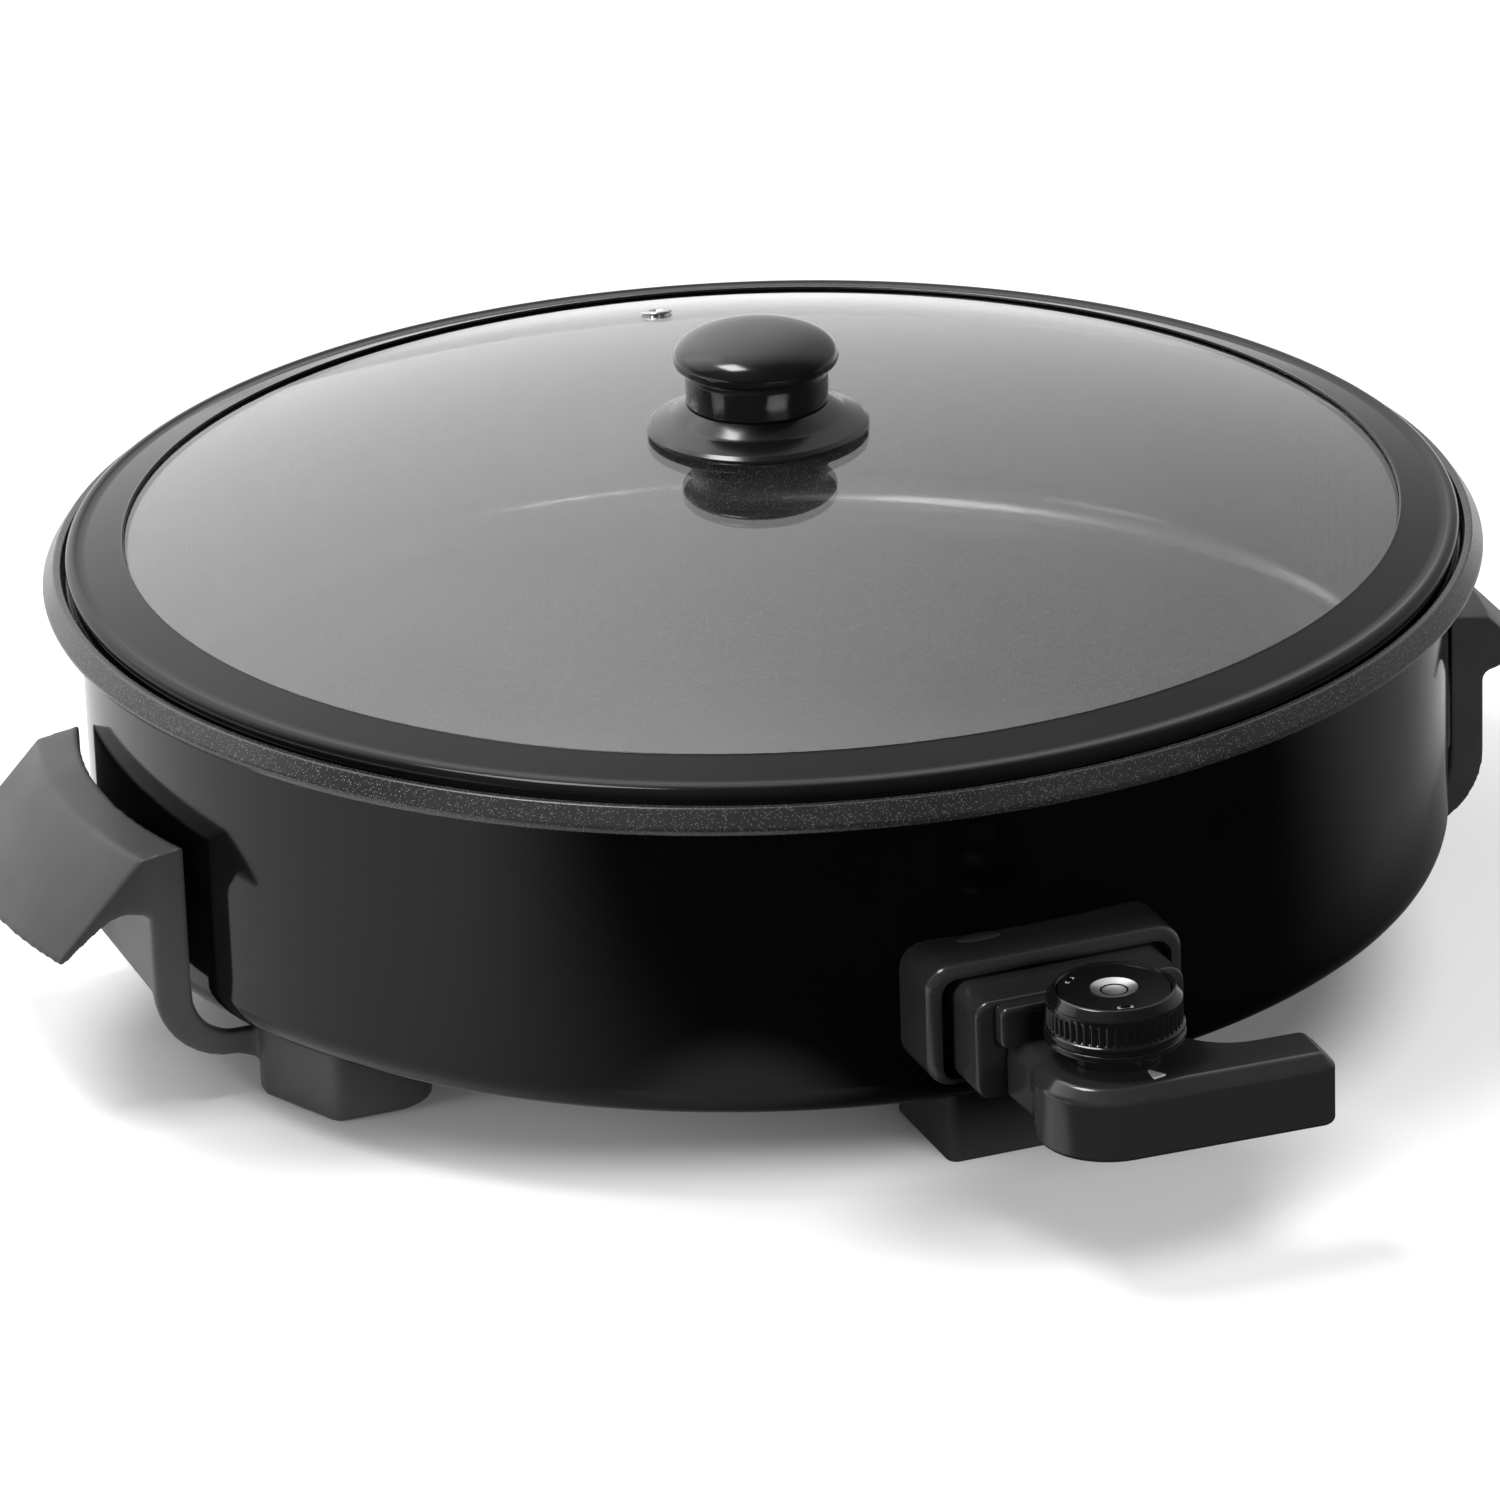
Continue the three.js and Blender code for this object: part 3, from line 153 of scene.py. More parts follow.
def inset(corners: Array, distance: float) -> Array:
    """Closed outline with every side moved inwards.

    A corner moves along the mean of its two side normals, lengthened so that both
    sides move by the distance; its radius shrinks outside a bend and grows inside.

    Args:
        corners: rows of (a, b, radius), anticlockwise.
        distance: how far the sides move.

    Returns:
        Rows of (a, b, radius).
    """
    place, radius = corners[:, :2], corners[:, 2]
    along = unit(np.roll(place, -1, axis=0) - place)
    inward = np.column_stack([-along[:, 1], along[:, 0]])
    along_before, inward_before = np.roll(along, 1, axis=0), np.roll(inward, 1, axis=0)
    shared = 1 + (inward_before * inward).sum(1, keepdims=True)
    moved_place = place + distance * (inward_before + inward) / shared
    turn = along_before[:, 0] * along[:, 1] - along_before[:, 1] * along[:, 0]
    radius = np.maximum(radius - np.sign(turn) * distance, LEAST_RADIUS)
    return np.column_stack([moved_place, radius])


def rectangle(a: float, b: float, width: float, height: float, radius: float) -> Array:
    """Corners of a rounded rectangle, anticlockwise.

    Args:
        a: middle along the first axis.
        b: middle along the second axis.
        width: size along the first axis.
        height: size along the second axis.
        radius: radius of the corners.

    Returns:
        Rows of (a, b, radius).
    """
    half = [width / 2, height / 2]
    signs = np.array([[-1, -1], [1, -1], [1, 1], [-1, 1]])
    return np.column_stack([signs * half + [a, b], np.full(4, radius)])


def grid_faces(rows: int, columns: int, wrap_rows: bool, wrap_columns: bool) -> list:
    """Four-sided faces between neighbouring points of a grid of points.

    Args:
        rows: number of rows.
        columns: points in a row.
        wrap_rows: True where the last row joins the first.
        wrap_columns: True where a row's last point joins its first.

    Returns:
        Lists of four point numbers.
    """
    index = np.arange(rows * columns).reshape(rows, columns)
    if wrap_rows:
        index = np.vstack([index, index[:1]])
    if wrap_columns:
        index = np.column_stack([index, index[:, :1]])
    corners = [index[:-1, :-1], index[1:, :-1], index[1:, 1:], index[:-1, 1:]]
    return np.stack(corners, axis=-1).reshape(-1, 4).tolist()


def revolve(profile: Array, sides: int = ROUND_SIDES) -> Shell:
    """Surface of revolution: each (radius, height) at every angle of a full turn.

    A profile that starts and ends on the axis is closed by its poles, any other by
    joining its last point to its first.

    Args:
        profile: rows of (radius, height).
        sides: number of angles.

    Returns:
        Points and faces.
    """
    angle = np.linspace(0, 2 * np.pi, sides, endpoint=False)[:, None]
    radius, height = profile[None, :, 0], profile[None, :, 1]
    around = [radius * np.cos(angle), radius * np.sin(angle), height + 0 * angle]
    points = np.stack(around, axis=-1).reshape(-1, 3)
    on_axis = max(profile[0, 0], profile[-1, 0]) < 1e-6
    return points, grid_faces(sides, len(profile), True, not on_axis)


def loft(rings: Array) -> Shell:
    """Tube through a stack of closed rings, with a flat cap at each end.

    Args:
        rings: array of (ring, point, 3).

    Returns:
        Points and faces.
    """
    count, around = rings.shape[:2]
    faces = grid_faces(count, around, False, True)
    last = (count - 1) * around
    faces.append(list(range(around))[::-1])
    faces.append(list(range(last, last + around)))
    return rings.reshape(-1, 3), faces


def carried(corners: Array, levels: Array | list, steps: int = ARC_STEPS) -> Array:
    """Rings of an outline carried through levels, drawn in by each level's inset.

    Args:
        corners: rows of (a, b, radius), anticlockwise.
        levels: rows of (inset, height).
        steps: parts of each corner's arc.

    Returns:
        Array of (level, point, 3).
    """
    rings = []
    for gap, height in levels:
        line = rounded(inset(corners, gap), True, steps)
        rings.append(np.column_stack([line, np.full(len(line), height)]))
    return np.array(rings)


def levels_between(low: float, high: float, low_edge: float, high_edge: float) -> Array:
    """Levels up a wall whose lower and upper edges are rounded.

    Args:
        low: height of the wall's foot.
        high: height of its top.
        low_edge: radius of the lower edge.
        high_edge: radius of the upper edge.

    Returns:
        Rows of (inset, height).
    """
    cap = max(low_edge, high_edge) + 1.2
    corners = [(cap, low, 0), (0, low, low_edge), (0, high, high_edge), (cap, high, 0)]
    return rounded(corners, False, 5)


def along_y(points: Array) -> Array:
    """Points of (a, b, height) turned so that heights run along Y."""
    return points[..., [0, 2, 1]]


def moved(shell: Shell, offset: Triple) -> Shell:
    """Shell moved by an offset."""
    return shell[0] + np.array(offset), shell[1]


def about_z(turn: float) -> Array:
    """Matrix that turns points about Z by an angle in radians."""
    cos, sin = np.cos(turn), np.sin(turn)
    return np.array([[cos, -sin, 0], [sin, cos, 0], [0, 0, 1]])


def rod(radius: float, low: float, high: float, edge: float = 0.3) -> Shell:
    """Upright round bar with rounded rims."""
    corners = [(0, low, 0), (radius, low, edge), (radius, high, edge), (0, high, 0)]
    return revolve(rounded(corners, False, 3), ROD_SIDES)


def rod_along_y(radius: float, ends: tuple[float, float], x: float, z: float, edge: float) -> Shell:
    """Round bar along Y.

    Args:
        radius: the bar's radius.
        ends: y of its two ends.
        x: sideways place of its axis.
        z: height of its axis.
        edge: radius of its rims.

    Returns:
        Points and faces.
    """
    points, faces = rod(radius, ends[0], ends[1], edge)
    return along_y(points) + [x, 0, z], faces


# Finishes


@dataclass
class Graph:
    """Short way to set and join the nodes of one shader tree."""

    tree: bpy.types.NodeTree

    def node(self, kind: str, values: dict | None = None, **settings: object) -> bpy.types.Node:
        """Adds a node.

        Args:
            kind: the node's type.
            values: for each input, a constant or the socket that feeds it.
            settings: the node's own settings.

        Returns:
            The node.
        """
        made = self.tree.nodes.new(kind)
        for name, setting in settings.items():
            setattr(made, name, setting)
        for name, value in (values or {}).items():
            if isinstance(value, Socket):
                self.tree.links.new(value, made.inputs[name])
            else:
                made.inputs[name].default_value = value
        return made

    def math(self, operation: str, first: Feed, second: Feed = 0.0) -> Socket:
        """Output of a Math node."""
        made = self.node("ShaderNodeMath", {0: first, 1: second}, operation=operation)
        return made.outputs[0]

    def vector(self, operation: str, first: Feed, second: Feed = (0.0, 0.0, 0.0)) -> Socket:
        """Vector that a Vector Math node gives."""
        made = self.node("ShaderNodeVectorMath", {0: first, 1: second}, operation=operation)
        return made.outputs["Vector"]

    def length(self, vector: Feed) -> Socket:
        """Length of a vector."""
        return self.node("ShaderNodeVectorMath", {0: vector}, operation="LENGTH").outputs["Value"]

    def along(self, vector: Feed, direction: Triple) -> Socket:
        """How far a vector reaches along a direction."""
        values = {0: vector, 1: direction}
        return self.node("ShaderNodeVectorMath", values, operation="DOT_PRODUCT").outputs["Value"]

    def remap(
        self, value: Feed, start: float, end: float, low: Feed = 0.0, high: Feed = 1.0
    ) -> Socket:
        """Value carried smoothly from one range to another.

        Args:
            value: the value.
            start: where the first range starts.
            end: where it ends.
            low: result at the start.
            high: result at the end.

        Returns:
            The result.
        """
        values = {"Value": value, "From Min": start, "From Max": end}
        values |= {"To Min": low, "To Max": high}
        made = self.node("ShaderNodeMapRange", values, interpolation_type="SMOOTHSTEP")
        return made.outputs["Result"]

    def mix(self, share: Feed, first: Feed, second: Feed) -> Socket:
        """Mix of two numbers."""
        return self.node("ShaderNodeMix", {0: share, 2: first, 3: second}).outputs[0]

    def blend(self, share: Feed, first: Feed, second: Feed) -> Socket:
        """Mix of two colours."""
        made = self.node("ShaderNodeMix", {0: share, 6: first, 7: second}, data_type="RGBA")
        return made.outputs[2]

    def noise(self, place: Socket, scale: Feed, detail: float) -> Socket:
        """Cloudy noise at a place."""
        values = {"Vector": place, "Scale": scale, "Detail": detail}
        return self.node("ShaderNodeTexNoise", values).outputs["Fac"]

    def place(self) -> Socket:
        """Place on the piece in metres, from its Object coordinates."""
        return self.node("ShaderNodeTexCoord").outputs["Object"]


def emptied(owner: bpy.types.Material | bpy.types.World) -> Graph:
    """Empties the shader of a material or of the world.

    Args:
        owner: the material or world.

    Returns:
        Its graph, without nodes.
    """
    owner.use_nodes = True
    owner.node_tree.nodes.clear()
    return Graph(owner.node_tree)


@dataclass
class EffectKit:
    """Builds each shared effect once as a node group.

    The ranges are the parts of the noise over which an effect comes in.
    """

    cloud_range: tuple[float, float] = (0.32, 0.68)
    smear_range: tuple[float, float] = (0.3, 0.7)
    fleck_range: tuple[float, float] = (0.18, 0.42)
    groups: dict[Effect, bpy.types.NodeTree] = field(default_factory=dict)

    def start(self, effect: Effect, inputs: dict, output: tuple[str, str]) -> Graph:
        """Opens a group with its named sockets.

        Args:
            effect: the effect.
            inputs: name and type of each input.
            output: name and type of the output.

        Returns:
            The group's graph.
        """
        tree = bpy.data.node_groups.new(effect.value, "ShaderNodeTree")
        for name, kind in inputs.items():
            tree.interface.new_socket(name, in_out="INPUT", socket_type=kind)
        tree.interface.new_socket(output[0], in_out="OUTPUT", socket_type=output[1])
        self.groups[effect] = tree
        return Graph(tree)

    def build(self) -> None:
        """Makes the four effects."""
        self.tone()
        self.handled()
        self.relief()
        self.flecks()

    def tone(self) -> None:
        """Colour that drifts between two tones in soft clouds."""
        kinds = {"Scale": "NodeSocketFloat", "Dark": "NodeSocketColor"}
        kinds["Light"] = "NodeSocketColor"
        graph = self.start(Effect.TONE, kinds, ("Color", "NodeSocketColor"))
        given = graph.node("NodeGroupInput").outputs
        cloud = graph.noise(graph.place(), given["Scale"], 4.0)
        share = graph.remap(cloud, *self.cloud_range)
        colour = graph.blend(share, given["Dark"], given["Light"])
        graph.node("NodeGroupOutput", {"Color": colour})

    def handled(self) -> None:
        """Roughness that wanders between two values in soft smears."""
        kinds = {name: "NodeSocketFloat" for name in ("Scale", "Low", "High")}
        graph = self.start(Effect.HANDLED, kinds, ("Roughness", "NodeSocketFloat"))
        given = graph.node("NodeGroupInput").outputs
        smear = graph.noise(graph.place(), given["Scale"], 2.0)
        rough = graph.remap(smear, *self.smear_range, given["Low"], given["High"])
        graph.node("NodeGroupOutput", {"Roughness": rough})

    def relief(self) -> None:
        """Height of a fine grain over a slower swell."""
        kinds = {name: "NodeSocketFloat" for name in ("Grain", "Swell", "Swell Share")}
        graph = self.start(Effect.RELIEF, kinds, ("Height", "NodeSocketFloat"))
        given = graph.node("NodeGroupInput").outputs
        grain = graph.noise(graph.place(), given["Grain"], 3.0)
        swell = graph.noise(graph.place(), given["Swell"], 1.0)
        height = graph.mix(given["Swell Share"], grain, swell)
        graph.node("NodeGroupOutput", {"Height": height})

    def flecks(self) -> None:
        """Mask of small light grains: the cores of some of the cells."""
        kinds = {"Scale": "NodeSocketFloat", "Amount": "NodeSocketFloat"}
        graph = self.start(Effect.FLECKS, kinds, ("Mask", "NodeSocketFloat"))
        given = graph.node("NodeGroupInput").outputs
        values = {"Vector": graph.place(), "Scale": given["Scale"]}
        cells = graph.node("ShaderNodeTexVoronoi", values).outputs
        chance = graph.node("ShaderNodeSeparateColor", {"Color": cells["Color"]}).outputs[0]
        picked = graph.math("LESS_THAN", chance, given["Amount"])
        core = graph.remap(cells["Distance"], *self.fleck_range, 1.0, 0.0)
        graph.node("NodeGroupOutput", {"Mask": graph.math("MULTIPLY", picked, core)})

    def use(self, graph: Graph, effect: Effect, values: dict) -> Socket:
        """Places an effect in a material.

        Args:
            graph: the material's graph.
            effect: the effect.
            values: what its inputs get.

        Returns:
            The effect's output.
        """
        made = graph.node("ShaderNodeGroup", node_tree=self.groups[effect])
        for name, value in values.items():
            made.inputs[name].default_value = value
        return made.outputs[0]


@dataclass(frozen=True)
class Finish:
    """Coating, moulding or metal with its tone, roughness, relief and flecks.

    Scales are in cycles per metre, the relief in millimetres.
    """

    look: Look
    slot: str
    dark: Triple
    light: Triple
    smooth: float
    rough: float
    relief: float
    tone_scale: float = 14.0
    rub_scale: float = 22.0
    grain: float = 900.0
    swell: float = 60.0
    swell_share: float = 0.3
    metallic: float = 0.0
    specular: float = 0.5
    fleck_colour: Triple = (0.5, 0.5, 0.5)
    fleck_scale: float = 0.0
    fleck_amount: float = 0.0

    def material(self, kit: EffectKit) -> bpy.types.Material:
        """Builds the material.

        Args:
            kit: the shared effects.

        Returns:
            The material.
        """
        made = bpy.data.materials.new(self.look.value)
        graph = emptied(made)
        shader = self.shader(graph, self.surface(graph, kit))
        graph.node("ShaderNodeOutputMaterial", {"Surface": shader})
        return made

    def surface(self, graph: Graph, kit: EffectKit) -> dict:
        """Colour, roughness and relief from the shared effects.

        Args:
            graph: the material's graph.
            kit: the shared effects.

        Returns:
            What the Principled shader's inputs get.
        """
        tones = {"Scale": self.tone_scale}
        tones |= {"Dark": (*self.dark, 1), "Light": (*self.light, 1)}
        colour = kit.use(graph, Effect.TONE, tones)
        rub = {"Scale": self.rub_scale, "Low": self.smooth, "High": self.rough}
        rough = kit.use(graph, Effect.HANDLED, rub)
        swell = {"Grain": self.grain, "Swell": self.swell, "Swell Share": self.swell_share}
        height = kit.use(graph, Effect.RELIEF, swell)
        if self.fleck_scale:
            fleck = {"Scale": self.fleck_scale, "Amount": self.fleck_amount}
            mask = kit.use(graph, Effect.FLECKS, fleck)
            colour = graph.blend(mask, colour, (*self.fleck_colour, 1))
            height = graph.math("ADD", height, mask)
        bump = {"Height": height, "Distance": self.relief * MM, "Strength": 1.0}
        normal = graph.node("ShaderNodeBump", bump).outputs["Normal"]
        return {"Base Color": colour, "Roughness": rough, "Normal": normal}

    def shader(self, graph: Graph, values: dict) -> Socket:
        """Opaque shader over a surface."""
        values |= {"Metallic": self.metallic, "Specular IOR Level": self.specular}
        return graph.node("ShaderNodeBsdfPrincipled", values).outputs[0]


@dataclass(frozen=True)
class Glass(Finish):
    """Clear glass that lets lamp light through."""

    shadow_tint: Triple = (0.82, 0.83, 0.84)
    ior: float = 1.5

    def shader(self, graph: Graph, values: dict) -> Socket:
        """Glass over a surface; shadow rays see a clear sheet of a like tint.

        Args:
            graph: the material's graph.
            values: what the Principled shader's inputs get.

        Returns:
            The shader.
        """
        values |= {"IOR": self.ior, "Transmission Weight": 1.0}
        glass = graph.node("ShaderNodeBsdfPrincipled", values).outputs[0]
        tint = {"Color": (*self.shadow_tint, 1)}
        clear = graph.node("ShaderNodeBsdfTransparent", tint).outputs[0]
        shadow = graph.node("ShaderNodeLightPath").outputs["Is Shadow Ray"]
        return graph.node("ShaderNodeMixShader", {0: shadow, 1: glass, 2: clear}).outputs[0]


FINISHES = (
    Finish(
        Look.NON_STICK, "non_stick", (0.018, 0.018, 0.019), (0.027, 0.027, 0.028),
        0.21, 0.26, 0.04, grain=1700.0, swell=260.0,
        fleck_colour=(0.13, 0.13, 0.133), fleck_scale=1900.0, fleck_amount=0.45,
    ),
    Finish(
        Look.ENAMEL, "gloss_enamel", (0.0008, 0.0008, 0.0009), (0.0014, 0.0014, 0.0015),
        0.07, 0.11, 0.008, grain=400.0, swell=30.0, swell_share=0.7, specular=0.25,
    ),
    Finish(
        Look.PHENOLIC, "bakelite", (0.033, 0.033, 0.034), (0.045, 0.045, 0.046),
        0.36, 0.46, 0.035, tone_scale=30.0, grain=1800.0, specular=0.32,
    ),
    Finish(
        Look.GLOSS_PLASTIC, "gloss_plastic", (0.004, 0.004, 0.0042), (0.007, 0.007, 0.0072),
        0.13, 0.18, 0.01, grain=700.0, swell=90.0, swell_share=0.6,
    ),
    Finish(
        Look.SATIN_PLASTIC, "gloss_plastic", (0.019, 0.019, 0.0194), (0.025, 0.025, 0.0255),
        0.15, 0.2, 0.014, grain=1300.0, swell=120.0, swell_share=0.4,
    ),
    Finish(
        Look.FLAT_PLASTIC, "gloss_plastic", (0.003, 0.003, 0.003), (0.005, 0.005, 0.005),
        0.18, 0.26, 0.015, grain=1500.0, specular=0.3,
    ),
    Finish(
        Look.BAND, "band_coating", (0.005, 0.005, 0.0052), (0.008, 0.008, 0.0083),
        0.08, 0.12, 0.012, grain=1600.0, swell=150.0, specular=0.16,
    ),
    Finish(
        Look.PLATED_STEEL, "steel", (0.42, 0.43, 0.44), (0.56, 0.57, 0.58),
        0.18, 0.32, 0.02, tone_scale=60.0, rub_scale=90.0, metallic=1.0,
    ),
    Finish(
        Look.SILVER, "steel", (0.55, 0.55, 0.56), (0.7, 0.7, 0.71),
        0.26, 0.34, 0.01, tone_scale=80.0, rub_scale=120.0, metallic=1.0,
    ),
    Finish(
        Look.HEATED_STEEL, "steel", (0.20, 0.17, 0.14), (0.34, 0.32, 0.30),
        0.3, 0.5, 0.03, tone_scale=25.0, rub_scale=60.0, metallic=1.0,
    ),
    Finish(
        Look.BRASS, "steel", (0.62, 0.46, 0.20), (0.72, 0.56, 0.28),
        0.22, 0.36, 0.02, tone_scale=60.0, rub_scale=90.0, metallic=1.0,
    ),
    Finish(
        Look.RUBBER, "rubber", (0.006, 0.006, 0.006), (0.011, 0.011, 0.011),
        0.6, 0.75, 0.05, grain=2200.0,
    ),
    Finish(
        Look.PRINT, "lamp_lens", (0.52, 0.52, 0.52), (0.64, 0.64, 0.64),
        0.3, 0.42, 0.02, tone_scale=80.0, grain=2000.0,
    ),
    Glass(
        Look.GLASS, "lid_glass", (0.90, 0.895, 0.90), (0.93, 0.925, 0.93),
        0.006, 0.014, 0.015, tone_scale=6.0, rub_scale=5.0, grain=30.0, swell=6.0,
        swell_share=0.9,
    ),
)


@dataclass
class FinishRack:
    """Every finish of the skillet, made once, and the record's slot for it."""

    made: dict[Look, bpy.types.Material] = field(default_factory=dict)
    slots: dict[Look, str] = field(default_factory=dict)

    def __post_init__(self) -> None:
        """Makes the effects and all materials."""
        kit = EffectKit()
        kit.build()
        for finish in FINISHES:
            self.made[finish.look] = finish.material(kit)
            self.slots[finish.look] = finish.slot


# Meshes


@dataclass
class Bench:
    """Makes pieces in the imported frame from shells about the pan's axis."""

    rack: FinishRack
    axis: Array = field(init=False)
    finished: list[bpy.types.Object] = field(default_factory=list)

    def __post_init__(self) -> None:
        """Takes the pan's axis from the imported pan."""
        low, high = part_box("inner_pan")
        self.axis = np.array([(low.x + high.x) / 2, (low.y + high.y) / 2, 0.0])

    def middle(self, node: str) -> Array:
        """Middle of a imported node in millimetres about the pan's axis."""
        low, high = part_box(node)
        return ((np.array(low) + np.array(high)) / 2 - self.axis) / MM

    def solid(self, name: str, shells: list[Shell]) -> bpy.types.Object:
        """Object of closed shells with faces outwards and creases kept sharp.

        Args:
            name: the object's name.
            shells: closed surfaces in millimetres.

        Returns:
            The linked object, at the origin.
        """
        points = np.vstack([shell[0] for shell in shells]) * MM + self.axis
        faces, start = [], 0
        for shell_points, shell_faces in shells:
            faces += [[start + corner for corner in face] for face in shell_faces]
            start += len(shell_points)
        mesh = bpy.data.meshes.new(name)
        mesh.from_pydata(points.tolist(), [], faces)
        made = bpy.data.objects.new(name, mesh)
        bpy.context.scene.collection.objects.link(made)
        self.clean(made)
        self.shade(made)
        return made

    def clean(self, piece: bpy.types.Object) -> None:
        """Merges points that coincide, as at poles, and turns the faces outwards.

        Args:
            piece: the object to clean.
        """
        work = bmesh.new()
        work.from_mesh(piece.data)
        bmesh.ops.remove_doubles(work, verts=work.verts, dist=MERGE_DISTANCE)
        bmesh.ops.recalc_face_normals(work, faces=work.faces)
        work.to_mesh(piece.data)
        work.free()

    def shade(self, piece: bpy.types.Object) -> None:
        """Shades smooth up to the crease angle, with flat faces kept even.

        Args:
            piece: the object to shade.
        """
        piece.data.shade_smooth()
        piece.data.set_sharp_from_angle(angle=CREASE_ANGLE)
        even = piece.modifiers.new("even", "WEIGHTED_NORMAL")
        even.keep_sharp = True
        self.settle(piece)

    def settle(self, piece: bpy.types.Object) -> None:
        """Applies a piece's modifiers to its mesh.

        Args:
            piece: the object with modifiers.
        """
        bpy.context.view_layer.update()
        graph = bpy.context.evaluated_depsgraph_get()
        fresh = bpy.data.meshes.new_from_object(piece.evaluated_get(graph))
        piece.modifiers.clear()
        piece.data = fresh

    def subtract(self, piece: bpy.types.Object, tool: bpy.types.Object) -> None:
        """Takes a tool's room out of a piece and removes the tool.

        Args:
            piece: the object to cut.
            tool: the closed object that cuts it.
        """
        step = piece.modifiers.new("cut", "BOOLEAN")
        step.operation = "DIFFERENCE"
        step.object = tool
        step.solver = "EXACT"
        self.settle(piece)
        bpy.data.objects.remove(tool)
        self.shade(piece)

    def cut(self, piece: bpy.types.Object, shells: list[Shell]) -> None:
        """Takes the room of closed shells out of a piece, all at once."""
        self.subtract(piece, self.solid("cutter", shells))

    def seat(self, piece: bpy.types.Object, node: str, clearance: float) -> None:
        """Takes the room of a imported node, a clearance larger, out of a piece.

        Args:
            piece: the object to cut.
            node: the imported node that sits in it.
            clearance: gap all round in millimetres.
        """
        low, high = (np.array(corner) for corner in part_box(node))
        middle = (low + high) / 2
        growth = 1 + 2 * clearance * MM / np.maximum(high - low, 1e-6)
        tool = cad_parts[node].copy()
        tool.data = tool.data.copy()
        bpy.context.scene.collection.objects.link(tool)
        points = np.empty(len(tool.data.vertices) * 3, np.float32)
        tool.data.vertices.foreach_get("co", points)
        grown = (points.reshape(-1, 3) - middle) * growth + middle
        tool.data.vertices.foreach_set("co", grown.astype(np.float32).ravel())
        self.clean(tool)
        self.subtract(piece, tool)

    def melt(self, piece: bpy.types.Object, voxel: float, passes: int) -> None:
        """Fuses overlapping shells into one skin and softens its edges.

        Args:
            piece: object of closed shells that may overlap.
            voxel: grain of the new skin in millimetres.
            passes: smoothing passes.
        """
        skin = piece.modifiers.new("skin", "REMESH")
        skin.mode = "VOXEL"
        skin.voxel_size = voxel * MM
        soften = piece.modifiers.new("soften", "SMOOTH")
        soften.factor = 0.5
        soften.iterations = passes
        self.settle(piece)
        piece.data.shade_smooth()

    def place(self, piece: bpy.types.Object, body: Body, look: Look, *nodes: str) -> None:
        """Gives a piece its finish and body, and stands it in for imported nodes.

        Args:
            piece: the finished object.
            body: the body that it moves with.
            look: its finish.
            nodes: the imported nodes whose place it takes.
        """
        piece.data.materials.clear()
        piece.data.materials.append(self.rack.made[look])
        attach(piece, body.value)
        if nodes:
            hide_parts(*nodes)
        self.finished.append(piece)

    def dress(self, look: Look, *nodes: str) -> None:
        """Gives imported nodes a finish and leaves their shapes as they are.

        Args:
            look: the finish.
            nodes: names of the nodes.
        """
        for name in nodes:
            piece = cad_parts[name]
            if not piece.material_slots:
                piece.data.materials.append(self.rack.made[look])
            for slot in piece.material_slots:
                slot.material = self.rack.made[look]
            self.finished.append(piece)


# Cooker


